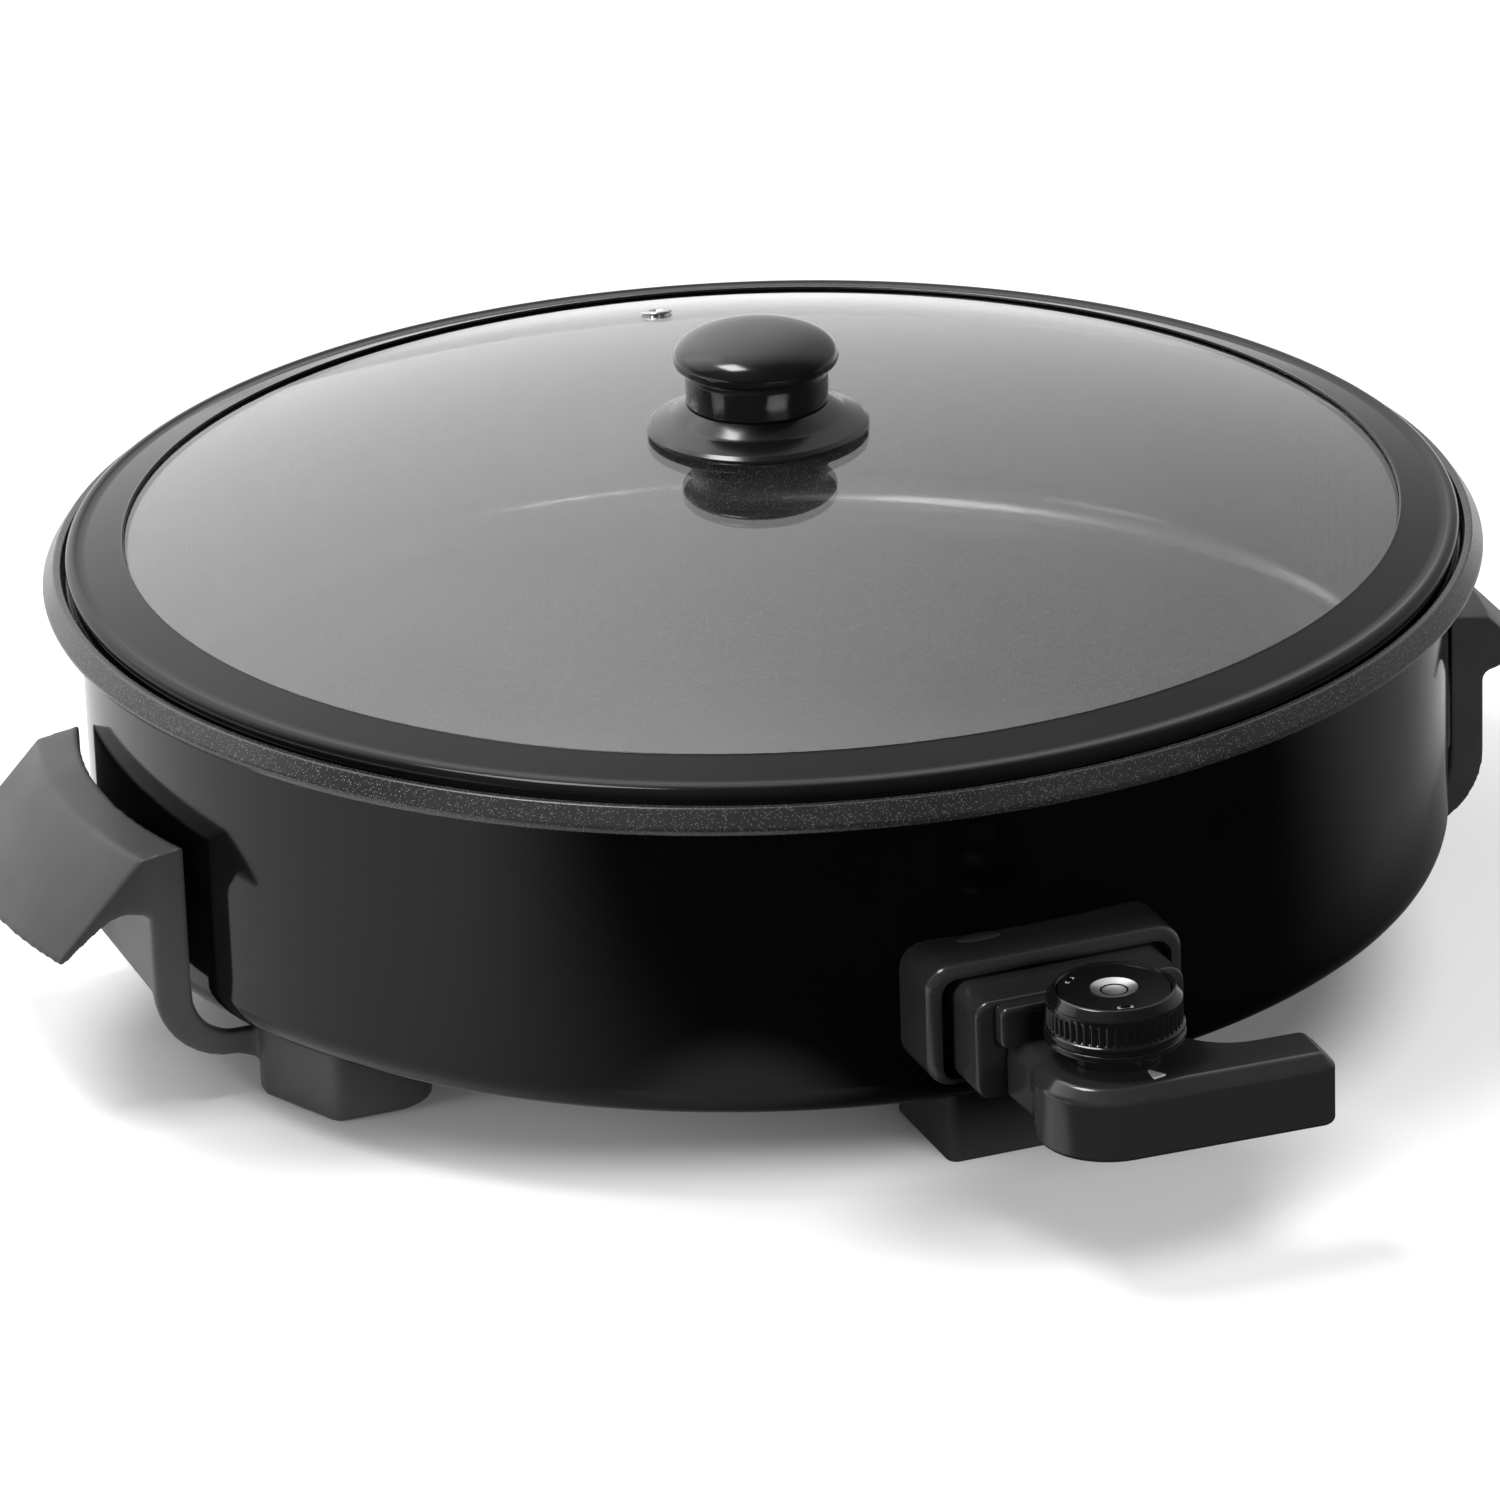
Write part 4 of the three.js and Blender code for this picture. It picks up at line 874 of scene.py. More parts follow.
@dataclass
class Cooker:
    """Non-stick pan and black housing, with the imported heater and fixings."""

    bench: Bench
    wall_radius: float = 199.5
    sheet: float = 1.2
    bottom: float = 25.5
    top: float = 113.2
    bottom_corner: float = 10.0
    pan_outer: float = 197.9
    pan_inner: float = 195.5
    floor: float = 55.2
    floor_sheet: float = 2.4
    floor_corner: float = 10.0
    ledge: float = 118.8
    ledge_radius: float = 203.4
    rim_gap: float = 0.3
    rim_top: float = 123.3
    rim_top_radius: float = 204.9
    rim_edge: float = 117.0
    rim_edge_radius: float = 210.0
    screw_hole: float = 2.6
    pin_hole: float = 2.3
    pocket_hole: float = 3.8
    guard_screw_hole: float = 1.9
    floor_cut: tuple[float, float] = (-4.0, 6.0)
    wall_cut: tuple[float, float] = (-6.0, 12.0)

    def build(self) -> None:
        """Builds the pan and the housing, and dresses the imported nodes."""
        self.pan()
        self.housing()
        self.fixings()

    def pan(self) -> None:
        """Pan turned from one closed profile: floor, wall, lid ledge and rolled rim."""
        under = self.top + self.rim_gap
        profile = rounded([
            (0, self.floor, 0),
            (self.pan_inner, self.floor, self.floor_corner),
            (self.pan_inner, self.ledge, 3.0),
            (self.ledge_radius, self.ledge, 0.8),
            (self.rim_top_radius - 0.7, self.rim_top, 0.6),
            (self.rim_top_radius + 1.6, self.rim_top, 0.9),
            (self.rim_edge_radius, self.rim_edge + 1.2, 1.6),
            (self.rim_edge_radius - 1.0, self.rim_edge - 0.9, 1.0),
            (self.wall_radius + 1.6, under + 1.2, 1.2),
            (self.wall_radius + 0.4, under, 0.4),
            (self.pan_outer, under, 0.2),
            (self.pan_outer, self.floor - self.floor_sheet, 12.0),
            (0, self.floor - self.floor_sheet, 0),
        ], False, 10)
        piece = self.bench.solid("pan_shell", [revolve(profile)])
        self.bench.place(piece, Body.COOKER, Look.NON_STICK, "inner_pan")

    def housing(self) -> None:
        """Housing turned from its sheet profile and pierced for pins and screws."""
        inner = self.wall_radius - self.sheet
        profile = rounded([
            (0, self.bottom, 0),
            (self.wall_radius, self.bottom, self.bottom_corner),
            (self.wall_radius, self.top, 0.3),
            (inner, self.top, 0.3),
            (inner, self.bottom + self.sheet, self.bottom_corner - self.sheet),
            (0, self.bottom + self.sheet, 0),
        ], False, 10)
        piece = self.bench.solid("housing_shell", [revolve(profile)])
        self.bench.cut(piece, self.holes())
        self.bench.place(piece, Body.COOKER, Look.ENAMEL, "outer_housing")

    def holes(self) -> list[Shell]:
        """Cutters for the screws under the floor and the pins in the wall.

        Returns:
            One round bar for each hole.
        """
        cutters = []
        for number in FOOT_SCREWS:
            x, y = self.bench.middle(f"foot_screw_{number}")[:2]
            low, high = (self.bottom + reach for reach in self.floor_cut)
            cutters.append(moved(rod(self.screw_hole, low, high), (x, y, 0)))
        ends = tuple(reach - self.wall_radius for reach in self.wall_cut)
        for radius, names in (
            (self.pin_hole, ("line_pin_left", "line_pin_right", "earth_pin")),
            (self.pocket_hole, ("probe_pocket",)),
            (self.guard_screw_hole, ("guard_screw_left", "guard_screw_right")),
        ):
            for name in names:
                x, _, z = self.bench.middle(name)
                cutters.append(rod_along_y(radius, ends, x, z, 0.3))
        return cutters

    def fixings(self) -> None:
        """Metal finishes for the heater, pins, screws and nuts."""
        self.bench.dress(Look.HEATED_STEEL, "heating_element")
        pins = ["line_pin_left", "line_pin_right", "earth_pin", "probe_pocket"]
        pins += ["guard_screw_left", "guard_screw_right"]
        screws = [f"foot_screw_{number}" for number in FOOT_SCREWS]
        nuts = [f"foot_nut_{number}" for number in FOOT_SCREWS]
        self.bench.dress(Look.PLATED_STEEL, *pins, *screws, *nuts)


@dataclass
class SocketGuard:
    """Rounded shroud round the socket, its back curved to the housing wall."""

    bench: Bench
    width: float = 76.0
    height: float = 36.0
    middle: float = 59.5
    front: float = -217.5
    floor: float = -203.4
    wall_radius: float = 199.8
    corner: float = 7.5
    recess_corner: float = 4.5
    side_wall: float = 4.2
    lower_wall: float = 2.0
    upper_wall: float = 4.0
    lip: float = 3.4
    screw_seat: float = 3.1
    screw_x: float = 24.5
    screw_z: float = 49.1
    boss_half: Triple = (6.6, 2.5, 1.0)
    boss_place: tuple[float, float] = (-16.5, -201.5)

    def build(self) -> None:
        """Lofts the outside, the rolled lip and the recess as one closed shell."""
        outline = rectangle(0, self.middle, self.width, self.height, self.corner)
        lift = (self.lower_wall - self.upper_wall) / 2
        recess = rectangle(
            0, self.middle + lift, self.width - 2 * self.side_wall,
            self.height - self.lower_wall - self.upper_wall, self.recess_corner,
        )
        outside = [(0.0, self.floor), (0.0, self.front + self.lip)]
        for angle in np.radians(np.linspace(15, 75, 5)):
            gap, depth = self.lip * (1 - np.cos(angle)), self.lip * (1 - np.sin(angle))
            outside.append((gap, self.front + depth))
        rings = [along_y(ring) for ring in carried(outline, outside)]
        rings[0] = self.onto_wall(rings[0])
        mouth = [(0.8, 0.0), (0.32, 0.15), (0.0, 1.0), (0.0, self.floor - self.front)]
        inside = [(-gap, self.front + depth) for gap, depth in mouth]
        rings += [along_y(ring) for ring in carried(recess, inside)]
        centre = rings[-1].mean(axis=0)
        rings.append(centre + (rings[-1] - centre) * 0.5)
        back = [self.onto_wall(self.shrunk(rings[0], share)) for share in (0.02, 0.35, 0.7)]
        piece = self.bench.solid("guard_shell", [loft(np.array(back + rings))])
        ends = (self.floor - 4, self.floor + 1.9)
        self.bench.cut(piece, [
            rod_along_y(self.screw_seat, ends, side * self.screw_x, self.screw_z, 0.1)
            for side in (-1, 1)
        ])
        self.bench.place(piece, Body.COOKER, Look.SATIN_PLASTIC, "socket_guard")
        self.latch_boss()

    def shrunk(self, ring: Array, share: float) -> Array:
        """Ring drawn in towards the middle of the guard's back."""
        middle = np.array([0.0, 0.0, self.middle])
        return middle + (ring - middle) * [share, 1, share]

    def onto_wall(self, ring: Array) -> Array:
        """Ring pressed onto the round wall: y = -sqrt(radius squared - x squared)."""
        y = -np.sqrt(self.wall_radius**2 - ring[:, 0] ** 2)
        return np.column_stack([ring[:, 0], y, ring[:, 2]])

    def latch_boss(self) -> None:
        """Low oval boss on top of the guard: a flattened half ellipsoid."""
        angle = np.linspace(0, np.pi / 2, 9)
        dome = np.column_stack([np.cos(angle), np.sin(angle)])
        dome[-1, 0] = 0
        profile = np.vstack([[0, -0.4], [1, -0.4], dome])
        points, faces = revolve(profile, SMALL_SIDES)
        place = [*self.boss_place, self.middle + self.height / 2]
        piece = self.bench.solid("guard_boss", [(points * self.boss_half + place, faces)])
        self.bench.place(piece, Body.COOKER, Look.SATIN_PLASTIC)


@dataclass
class HandleBracket:
    """Side grip, leg, arms and feet in one phenolic moulding."""

    bench: Bench
    side: int
    offset: float = -3.1
    half_length: float = 49.7
    cheek: float = 3.8
    sweep: float = 150.0
    axis_x: float = 55.0
    web_bottom: float = 34.5
    leg_outer: float = 207.6
    crown: tuple[float, float] = (37.0, 51.0)
    stations: int = 65
    voxel: float = 0.9
    smoothing: int = 7

    def build(self) -> None:
        """Fuses the swept grip, the cheeks and the feet into one softened skin."""
        shells = [self.grip(), *self.cheeks(), *self.feet()]
        mirrored = [
            (points * [self.side, 1, 1] + [0, self.offset, 0], faces)
            for points, faces in shells
        ]
        name = "right" if self.side > 0 else "left"
        piece = self.bench.solid(f"{name}_bracket_skin", mirrored)
        self.bench.melt(piece, self.voxel, self.smoothing)
        self.bench.cut(piece, screw_seats(self.bench, self.screws()))
        self.bench.place(piece, Body.COOKER, Look.PHENOLIC, f"{name}_handle_bracket")

    def section(self) -> Array:
        """Underside and top of the wing.

        Returns:
            Rows of (distance out from the hollow, height).
        """
        return rounded([
            (0, 50, 0), (6.2, 57, 30), (14, 61.8, 14), (21.5, 61.2, 14), (36.4, 49.4, 0.8),
            (*self.crown, 0.8), (12, 77.6, 0.8), (0, 79.5, 0.5), (0, 70, 0),
        ], False, 8)

    def grip(self) -> Shell:
        """Wing and leg lofted along y.

        At each y the wing's distances d stand at the plan radius sweep + d, so
        x = axis + sqrt((sweep + d)^2 - y^2), and the leg fills the space between the
        hollow and its flat outer face.

        Returns:
            Points and faces.
        """
        wing = self.section()
        split = int(np.argmin(np.hypot(*(wing - self.crown).T)))
        under, over = wing[: split + 1], wing[split + 1 : -1]
        y = self.half_length * np.linspace(-1, 1, self.stations)[:, None]
        hollow = self.plan(np.zeros((1, 1)), y)
        leg_distance = np.hypot(self.leg_outer - self.axis_x, y) - self.sweep
        far_enough = np.maximum(under[None, :, 0], leg_distance)
        under_height = np.interp(far_enough, under[:, 0], under[:, 1])
        under_x = self.plan(far_enough, y)
        over_x = self.plan(over[None, :, 0], y)
        leg_x = np.full_like(y, self.leg_outer)
        x = np.hstack([hollow, leg_x, under_x, over_x])
        flat = np.full_like(y, self.web_bottom)
        over_height = np.broadcast_to(over[None, :, 1], over_x.shape)
        z = np.hstack([flat, flat, under_height, over_height])
        return loft(np.stack([x, np.broadcast_to(y, x.shape), z], axis=-1))

    def plan(self, distance: Array, y: Array) -> Array:
        """x of the points at a distance out from the hollow."""
        return self.axis_x + np.sqrt((self.sweep + distance) ** 2 - y**2)

    def cheeks(self) -> list[Shell]:
        """End plates that carry the leg round the heel and in under the housing.

        Returns:
            The two plates.
        """
        hollow = self.axis_x + np.sqrt(self.sweep**2 - self.half_length**2)
        line = rounded([
            (150, 10.6, 0.5), (178, 10.6, 8), (184, 12.9, 8), (self.leg_outer, 12.9, 23),
            (self.leg_outer, self.web_bottom + 2, 0.1), (hollow, self.web_bottom + 2, 0.1),
            (hollow, 19.9, 13.5), (150, 19.9, 0.5),
        ], True, 16)
        plates = []
        for near in (-self.half_length, self.half_length - self.cheek):
            rings = [
                np.column_stack([line[:, 0], np.full(len(line), y), line[:, 1]])
                for y in (near, near + self.cheek)
            ]
            plates.append(loft(np.array(rings)))
        return plates

    def feet(self) -> list[Shell]:
        """Wedge feet outside the arms; the mirrored one is traced the other way.

        Returns:
            The two feet.
        """
        corners = np.array([
            (178, 47.5, 0.8), (178, 52.9, 3), (165.5, 79.9, 3), (132.7, 79.9, 14),
            (132.7, 47.5, 0.8),
        ])
        levels = levels_between(0.0, 25.2, 1.2, 0.3)
        return [loft(carried((corners * [1, way, 1])[::way], levels)) for way in (-1, 1)]

    def screws(self) -> list[int]:
        """Numbers of the foot screws on this side of the pan."""
        x = {number: self.bench.middle(f"foot_screw_{number}")[0] for number in FOOT_SCREWS}
        return [n for n in FOOT_SCREWS if n not in FRONT_SCREWS and x[n] * self.side > 0]


def screw_seats(bench: Bench, numbers: list[int]) -> list[Shell]:
    """Cutters for the head and shank of foot screws.

    Args:
        bench: the bench, for the screws' places.
        numbers: the screws' numbers.

    Returns:
        One stepped round cutter for each screw.
    """
    head, shank, low, step, high = 5.4, 2.6, -3.0, 15.0, 30.0
    profile = [(0, low), (head, low), (head, step), (shank, step), (shank, high), (0, high)]
    cutters = []
    for number in numbers:
        x, y = bench.middle(f"foot_screw_{number}")[:2]
        cutters.append(moved(revolve(np.array(profile), ROD_SIDES), (x, y, 0)))
    return cutters


@dataclass
class FrontFoot:
    """Block foot under the socket."""

    bench: Bench
    half_width: float = 18.6
    near: float = -181.5
    far: float = -141.0
    top: float = 25.2
    corner: float = 3.5

    def build(self) -> None:
        """Lofts the block with softened edges and bores its two screw seats."""
        middle = (self.near + self.far) / 2
        depth = self.far - self.near
        outline = rectangle(0, middle, 2 * self.half_width, depth, self.corner)
        shell = loft(carried(outline, levels_between(0.0, self.top, 1.4, 0.4)))
        piece = self.bench.solid("front_foot_block", [shell])
        self.bench.cut(piece, screw_seats(self.bench, FRONT_SCREWS))
        self.bench.place(piece, Body.COOKER, Look.PHENOLIC, "front_foot")


# Lid


@dataclass
class Lid:
    """Domed glass in its rolled band, with the steam eyelet."""

    bench: Bench
    apex: float = 155.5
    dome: float = 680.0
    glass_radius: float = 199.5
    thickness: float = 4.0
    bore: float = 2.4
    vent_hole: float = 3.0
    band_inner: float = 185.5
    band_outer: float = 202.9
    band_skin: float = 0.95
    band_gap: float = 0.3
    bead: float = 2.5
    lip: float = 0.65
    seat: float = 119.1
    vent: tuple[float, float] = (20.5, 139.0)

    def height(self, radius: Array | float) -> Array:
        """Height of the dome's outside: apex - (dome - sqrt(dome^2 - radius^2))."""
        return self.apex - (self.dome - np.sqrt(self.dome**2 - np.asarray(radius) ** 2))

    def line(self, start: float, end: float, rise: float, count: int) -> Array:
        """Part of the dome's line, raised by a distance."""
        radius = np.linspace(start, end, count)
        return np.column_stack([radius, self.height(radius) + rise])

    def build(self) -> None:
        """Builds glass, band and eyelet."""
        self.glass()
        self.band()
        self.eyelet()

    def glass(self) -> None:
        """Dome turned from its upper and lower lines, pierced for the eyelet."""
        edge, half = self.glass_radius, self.thickness / 2
        turn = np.radians(np.linspace(60, -60, 5))
        middle = self.height(edge - 1) - half
        rim = np.column_stack([edge - 1.2 + 1.2 * np.cos(turn), middle + half * np.sin(turn)])
        upper = self.line(self.bore, edge - 1.5, 0.0, 60)
        lower = self.line(edge - 1.5, self.bore, -self.thickness, 60)
        piece = self.bench.solid("glass_dome", [revolve(np.vstack([upper, rim, lower]))])
        self.bench.cut(piece, [self.on_dome(rod(self.vent_hole, -12.0, 9.0, 0.1))])
        self.bench.place(piece, Body.LID, Look.GLASS, "lid_glass")

    def on_dome(self, shell: Shell) -> Shell:
        """Shell stood on the dome at the vent, its Z axis along the dome's normal.

        Args:
            shell: shell about the Z axis.

        Returns:
            The shell in its place.
        """
        x, y = self.vent
        radius = np.hypot(x, y)
        normal = Vector((x, y, np.sqrt(self.dome**2 - radius**2))).normalized()
        turn = np.array(Vector((0, 0, 1)).rotation_difference(normal).to_matrix())
        return shell[0] @ turn.T + [x, y, float(self.height(radius))], shell[1]

    def band(self) -> None:
        """Rolled band: crowned skin, bead at the rim, skirt and the lip below."""
        glass_edge, lower_edge = 199.9, 192.0
        middle = self.band_outer - self.bead
        bead_height = float(self.height(middle)) - 0.35
        turn = np.radians(np.linspace(118, -55, 20))
        roll = [middle, bead_height] + self.bead * np.column_stack([np.cos(turn), np.sin(turn)])
        crown = self.line(self.band_inner + 0.75, middle - self.bead - 0.3, self.band_skin, 14)
        turn = np.radians(np.linspace(180, 100, 5))
        start = [self.band_inner + self.lip, self.height(self.band_inner) + self.band_gap]
        inner = start + self.lip * np.column_stack([np.cos(turn), np.sin(turn)])
        skirt = [
            (self.band_outer - 0.95, bead_height - 2.2), (self.band_outer - 0.75, self.seat + 0.4),
            (self.band_outer - 1.1, self.seat), (glass_edge, self.seat),
        ]
        low = self.line(glass_edge, lower_edge, -5.2, 6)
        low_back = self.line(lower_edge, glass_edge, -4.3, 6)
        back = self.line(glass_edge, self.band_inner + 0.2, self.band_gap, 8)
        profile = np.vstack([inner, crown, roll, skirt, low, low_back, back])
        piece = self.bench.solid("band_ring", [revolve(profile)])
        self.bench.place(piece, Body.LID, Look.BAND, "lid_band")

    def eyelet(self) -> None:
        """Steel eyelet with a rolled flange, clinched below the glass."""
        profile = rounded([
            (1.7, -5.1, 0.3), (4.0, -5.1, 0.4), (4.0, -4.3, 0.2), (2.7, -4.3, 0.1),
            (2.7, 0.3, 0.1), (5.0, 0.3, 0.3), (4.6, 1.1, 0.5), (2.4, 1.2, 0.6), (1.7, 0.4, 0.5),
        ], True, 4)
        piece = self.bench.solid("eyelet_ring", [self.on_dome(revolve(profile, ROD_SIDES))])
        self.bench.place(piece, Body.LID, Look.PLATED_STEEL, "vent_eyelet")


@dataclass
class Knob:
    """Flared skirt and domed cap on the lid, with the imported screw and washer."""

    bench: Bench
    apex: float = 155.5
    bore: float = 2.4
    skirt_radius: float = 32.6
    skirt_top: float = 8.0
    neck: float = 20.8
    cap_radius: float = 24.0
    cap_edge: float = 21.3
    crown: float = 8.9
    fullness: float = 0.86

    def build(self) -> None:
        """Turns the skirt and the cap from rounded profiles.

        The cap's crown is a fuller quarter ellipse: the cosine and the sine of its
        angle are each raised to the fullness.
        """
        skirt = rounded([
            (self.bore, 0.3, 0), (12, 0.3, 0.1), (self.skirt_radius - 0.6, -0.4, 0.5),
            (self.skirt_radius, 0.9, 0.7), (self.skirt_radius - 1.6, 2.1, 1.2),
            (25.6, 4.6, 9.0), (self.neck, self.skirt_top, 0.4), (self.bore, self.skirt_top, 0),
        ], True, 8)
        piece = self.bench.solid("knob_flare", [moved(revolve(skirt), (0, 0, self.apex))])
        self.bench.place(piece, Body.LID, Look.GLOSS_PLASTIC, "knob_skirt")
        angle = np.linspace(0, np.pi / 2, 24)
        crown = np.column_stack([
            self.cap_radius * np.cos(angle) ** self.fullness,
            self.cap_edge + self.crown * np.sin(angle) ** self.fullness,
        ])
        crown[-1, 0] = 0
        foot = self.skirt_top + 0.3
        lower = rounded([
            (0, foot, 0), (self.neck - 0.2, foot, 0.3), (self.neck, 12, 8), (self.neck, 16.8, 0.9),
            (self.neck - 0.6, 18.6, 0.8), (22.4, 19.5, 0.5), (23.6, 20.0, 0.6),
            (self.cap_radius, self.cap_edge, 0),
        ], False, 5)[:-1]
        cap = moved(revolve(np.vstack([lower, crown])), (0, 0, self.apex))
        piece = self.bench.solid("knob_dome", [cap])
        self.bench.place(piece, Body.LID, Look.GLOSS_PLASTIC, "knob_cap")
        self.bench.dress(Look.PLATED_STEEL, "knob_screw")
        self.bench.dress(Look.RUBBER, "knob_washer")


# Controller


@dataclass
class Controller:
    """Plug block, housing with its grip bar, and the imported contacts."""

    bench: Bench
    block_width: float = 61.6
    block_bottom: float = 44.0
    block_top: float = 73.0
    block_front: float = -234.0
    block_back: float = -204.2
    contact_bore: float = 3.15
    contact_depth: float = 16.3
    grip_top: float = 62.0
    grip_bottom: float = 41.2
    cover_top: float = 43.2
    cover_gap: float = 0.15
    neck_bottom: float = 45.6
    neck_half: float = 22.6
    left: float = -24.6
    right: float = 54.6
    front: float = -283.0
    arm_back: float = -261.2
    left_back: float = -259.5
    root: float = -234.3
    chamfer: float = 3.4
    skew: float = 2.0
    dial_room: float = 20.6
    pointer_turn: float = 14.0

    def build(self) -> None:
        """Builds block, housing, cover and pointer, and dresses the inner pieces."""
        self.block()
        self.housing()
        self.cover()
        self.pointer()
        self.bench.dress(
            Look.BRASS, "contact_sleeve_left", "contact_sleeve_right", "earth_sleeve"
        )
        self.bench.dress(Look.PLATED_STEEL, "probe_rod", "cover_screw_1", "cover_screw_2")
        self.bench.dress(Look.RUBBER, "cord_inlet")

    def block(self) -> None:
        """Block lofted along Y, bored at its back for the contacts."""
        middle = (self.block_bottom + self.block_top) / 2
        height = self.block_top - self.block_bottom
        outline = rectangle(0, middle, self.block_width, height, 4.5)
        levels = levels_between(self.block_front, self.block_back, 1.6, 1.0)
        piece = self.bench.solid("plug_block_shell", [loft(along_y(carried(outline, levels)))])
        ends = (self.block_back - self.contact_depth, self.block_back + 4)
        self.bench.cut(piece, [
            rod_along_y(self.contact_bore, ends, x, z, 0.1)
            for x, z in ((-14, 49.1), (14, 49.1), (0, 66.1))
        ])
        self.bench.place(piece, Body.CONTROLLER, Look.SATIN_PLASTIC, "plug_block")

    def skewed(self, points: list) -> Array:
        """Plan points turned a little about the right end of the front edge.

        Args:
            points: rows of (x, y, radius).

        Returns:
            The turned rows.
        """
        points = np.array(points, float)
        pivot = np.array([self.right, self.front])
        turn = about_z(np.radians(self.skew))[:2, :2]
        points[:, :2] = (points[:, :2] - pivot) @ turn + pivot
        return points

    def outline(self) -> Array:
        """Plan of neck and grip bar, with the open curve between them.

        Returns:
            Rows of (x, y, radius), anticlockwise.
        """
        half = self.neck_half
        front = self.skewed([(self.right, self.front, 4.5), (self.right, self.arm_back, 5.0)])
        arm_y = self.skewed([(half, self.arm_back, 0)])[0, 1]
        left = self.skewed([
            (self.left + 1.8, self.left_back + 7, 6.0), (self.left, self.left_back, 6.0),
            (self.left, self.front, 20.0),
        ])
        neck = [(half, arm_y, 16.0), (half, self.root, 1.0), (-half, self.root, 1.0)]
        return np.vstack([front, neck, left])

    def cover_outline(self) -> Array:
        """Plan of the plate under the bar, its near left corner rounded with the bar's."""
        return self.skewed([
            (50.6, -279.4, 2.0), (50.6, -264.4, 2.0), (-14.0, -264.4, 2.0), (-14.0, -279.4, 9.0),
        ])

    def housing(self) -> None:
        """Neck and bar in one moulding, cut away under the neck, and the root step."""
        levels = rounded([
            (3.0, self.grip_bottom, 0), (0, self.grip_bottom, 1.8),
            (0, self.grip_top - self.chamfer, 2.6), (self.chamfer, self.grip_top, 2.6),
            (self.chamfer + 2.5, self.grip_top, 0),
        ], False, 6)
        piece = self.bench.solid("grip_shell", [loft(carried(self.outline(), levels, 14))])
        margin = 20
        low_y, high_y = self.arm_back + 0.6, self.root + margin
        low_x, high_x = self.left - margin, self.right + margin
        below = self.skewed([
            (low_x, low_y, 0.1), (high_x, low_y, 0.1), (high_x, high_y, 0.1), (low_x, high_y, 0.1),
        ])
        depths = [(0, self.grip_bottom - 3), (0, self.neck_bottom)]
        self.bench.cut(piece, [loft(carried(below, depths, 1))])
        gap = self.cover_gap
        depths = [(-gap, self.grip_bottom - 2.2), (-gap, self.cover_top + 0.1)]
        self.bench.cut(piece, [loft(carried(self.cover_outline(), depths))])
        self.bench.seat(piece, "cord_inlet", 0.15)
        step = self.bench.solid("root_step", [self.root_block()])
        self.bench.cut(step, [moved(rod(self.dial_room, 62.0, 84.0, 0.1), (*DIAL_PLACE, 0))])
        self.bench.place(piece, Body.CONTROLLER, Look.SATIN_PLASTIC, "controller_housing")
        self.bench.place(step, Body.CONTROLLER, Look.SATIN_PLASTIC)

    def root_block(self) -> Shell:
        """Raised step where the neck meets the block."""
        outline = rectangle(0, 66.5, 51.0, 12.0, 2.2)
        return loft(along_y(carried(outline, levels_between(self.root - 5, self.root, 1.6, 0.2))))

    def cover(self) -> None:
        """Plate let into the underside of the bar, bored for its two screws."""
        levels = levels_between(self.grip_bottom, self.cover_top, 0.4, 0.1)
        piece = self.bench.solid("cover_plate", [loft(carried(self.cover_outline(), levels))])
        for node in ("cover_screw_1", "cover_screw_2"):
            self.bench.seat(piece, node, 0.1)
        self.bench.place(piece, Body.CONTROLLER, Look.GLOSS_PLASTIC, "controller_cover")

    def pointer(self) -> None:
        """Pale triangle let into the neck."""
        corners = np.array([(-2.2, -19.9, 0.4), (2.2, -19.9, 0.4), (0, -13.8, 0.4)])
        levels = levels_between(self.grip_top - 1, self.grip_top + 0.35, 0.1, 0.25)
        points, faces = loft(carried(corners, levels, 3))
        points = points @ about_z(np.radians(self.pointer_turn)).T + [*DIAL_PLACE, 0]
        piece = self.bench.solid("pointer_tooth", [(points, faces)])
        self.bench.place(piece, Body.CONTROLLER, Look.PRINT, "pilot_pointer")


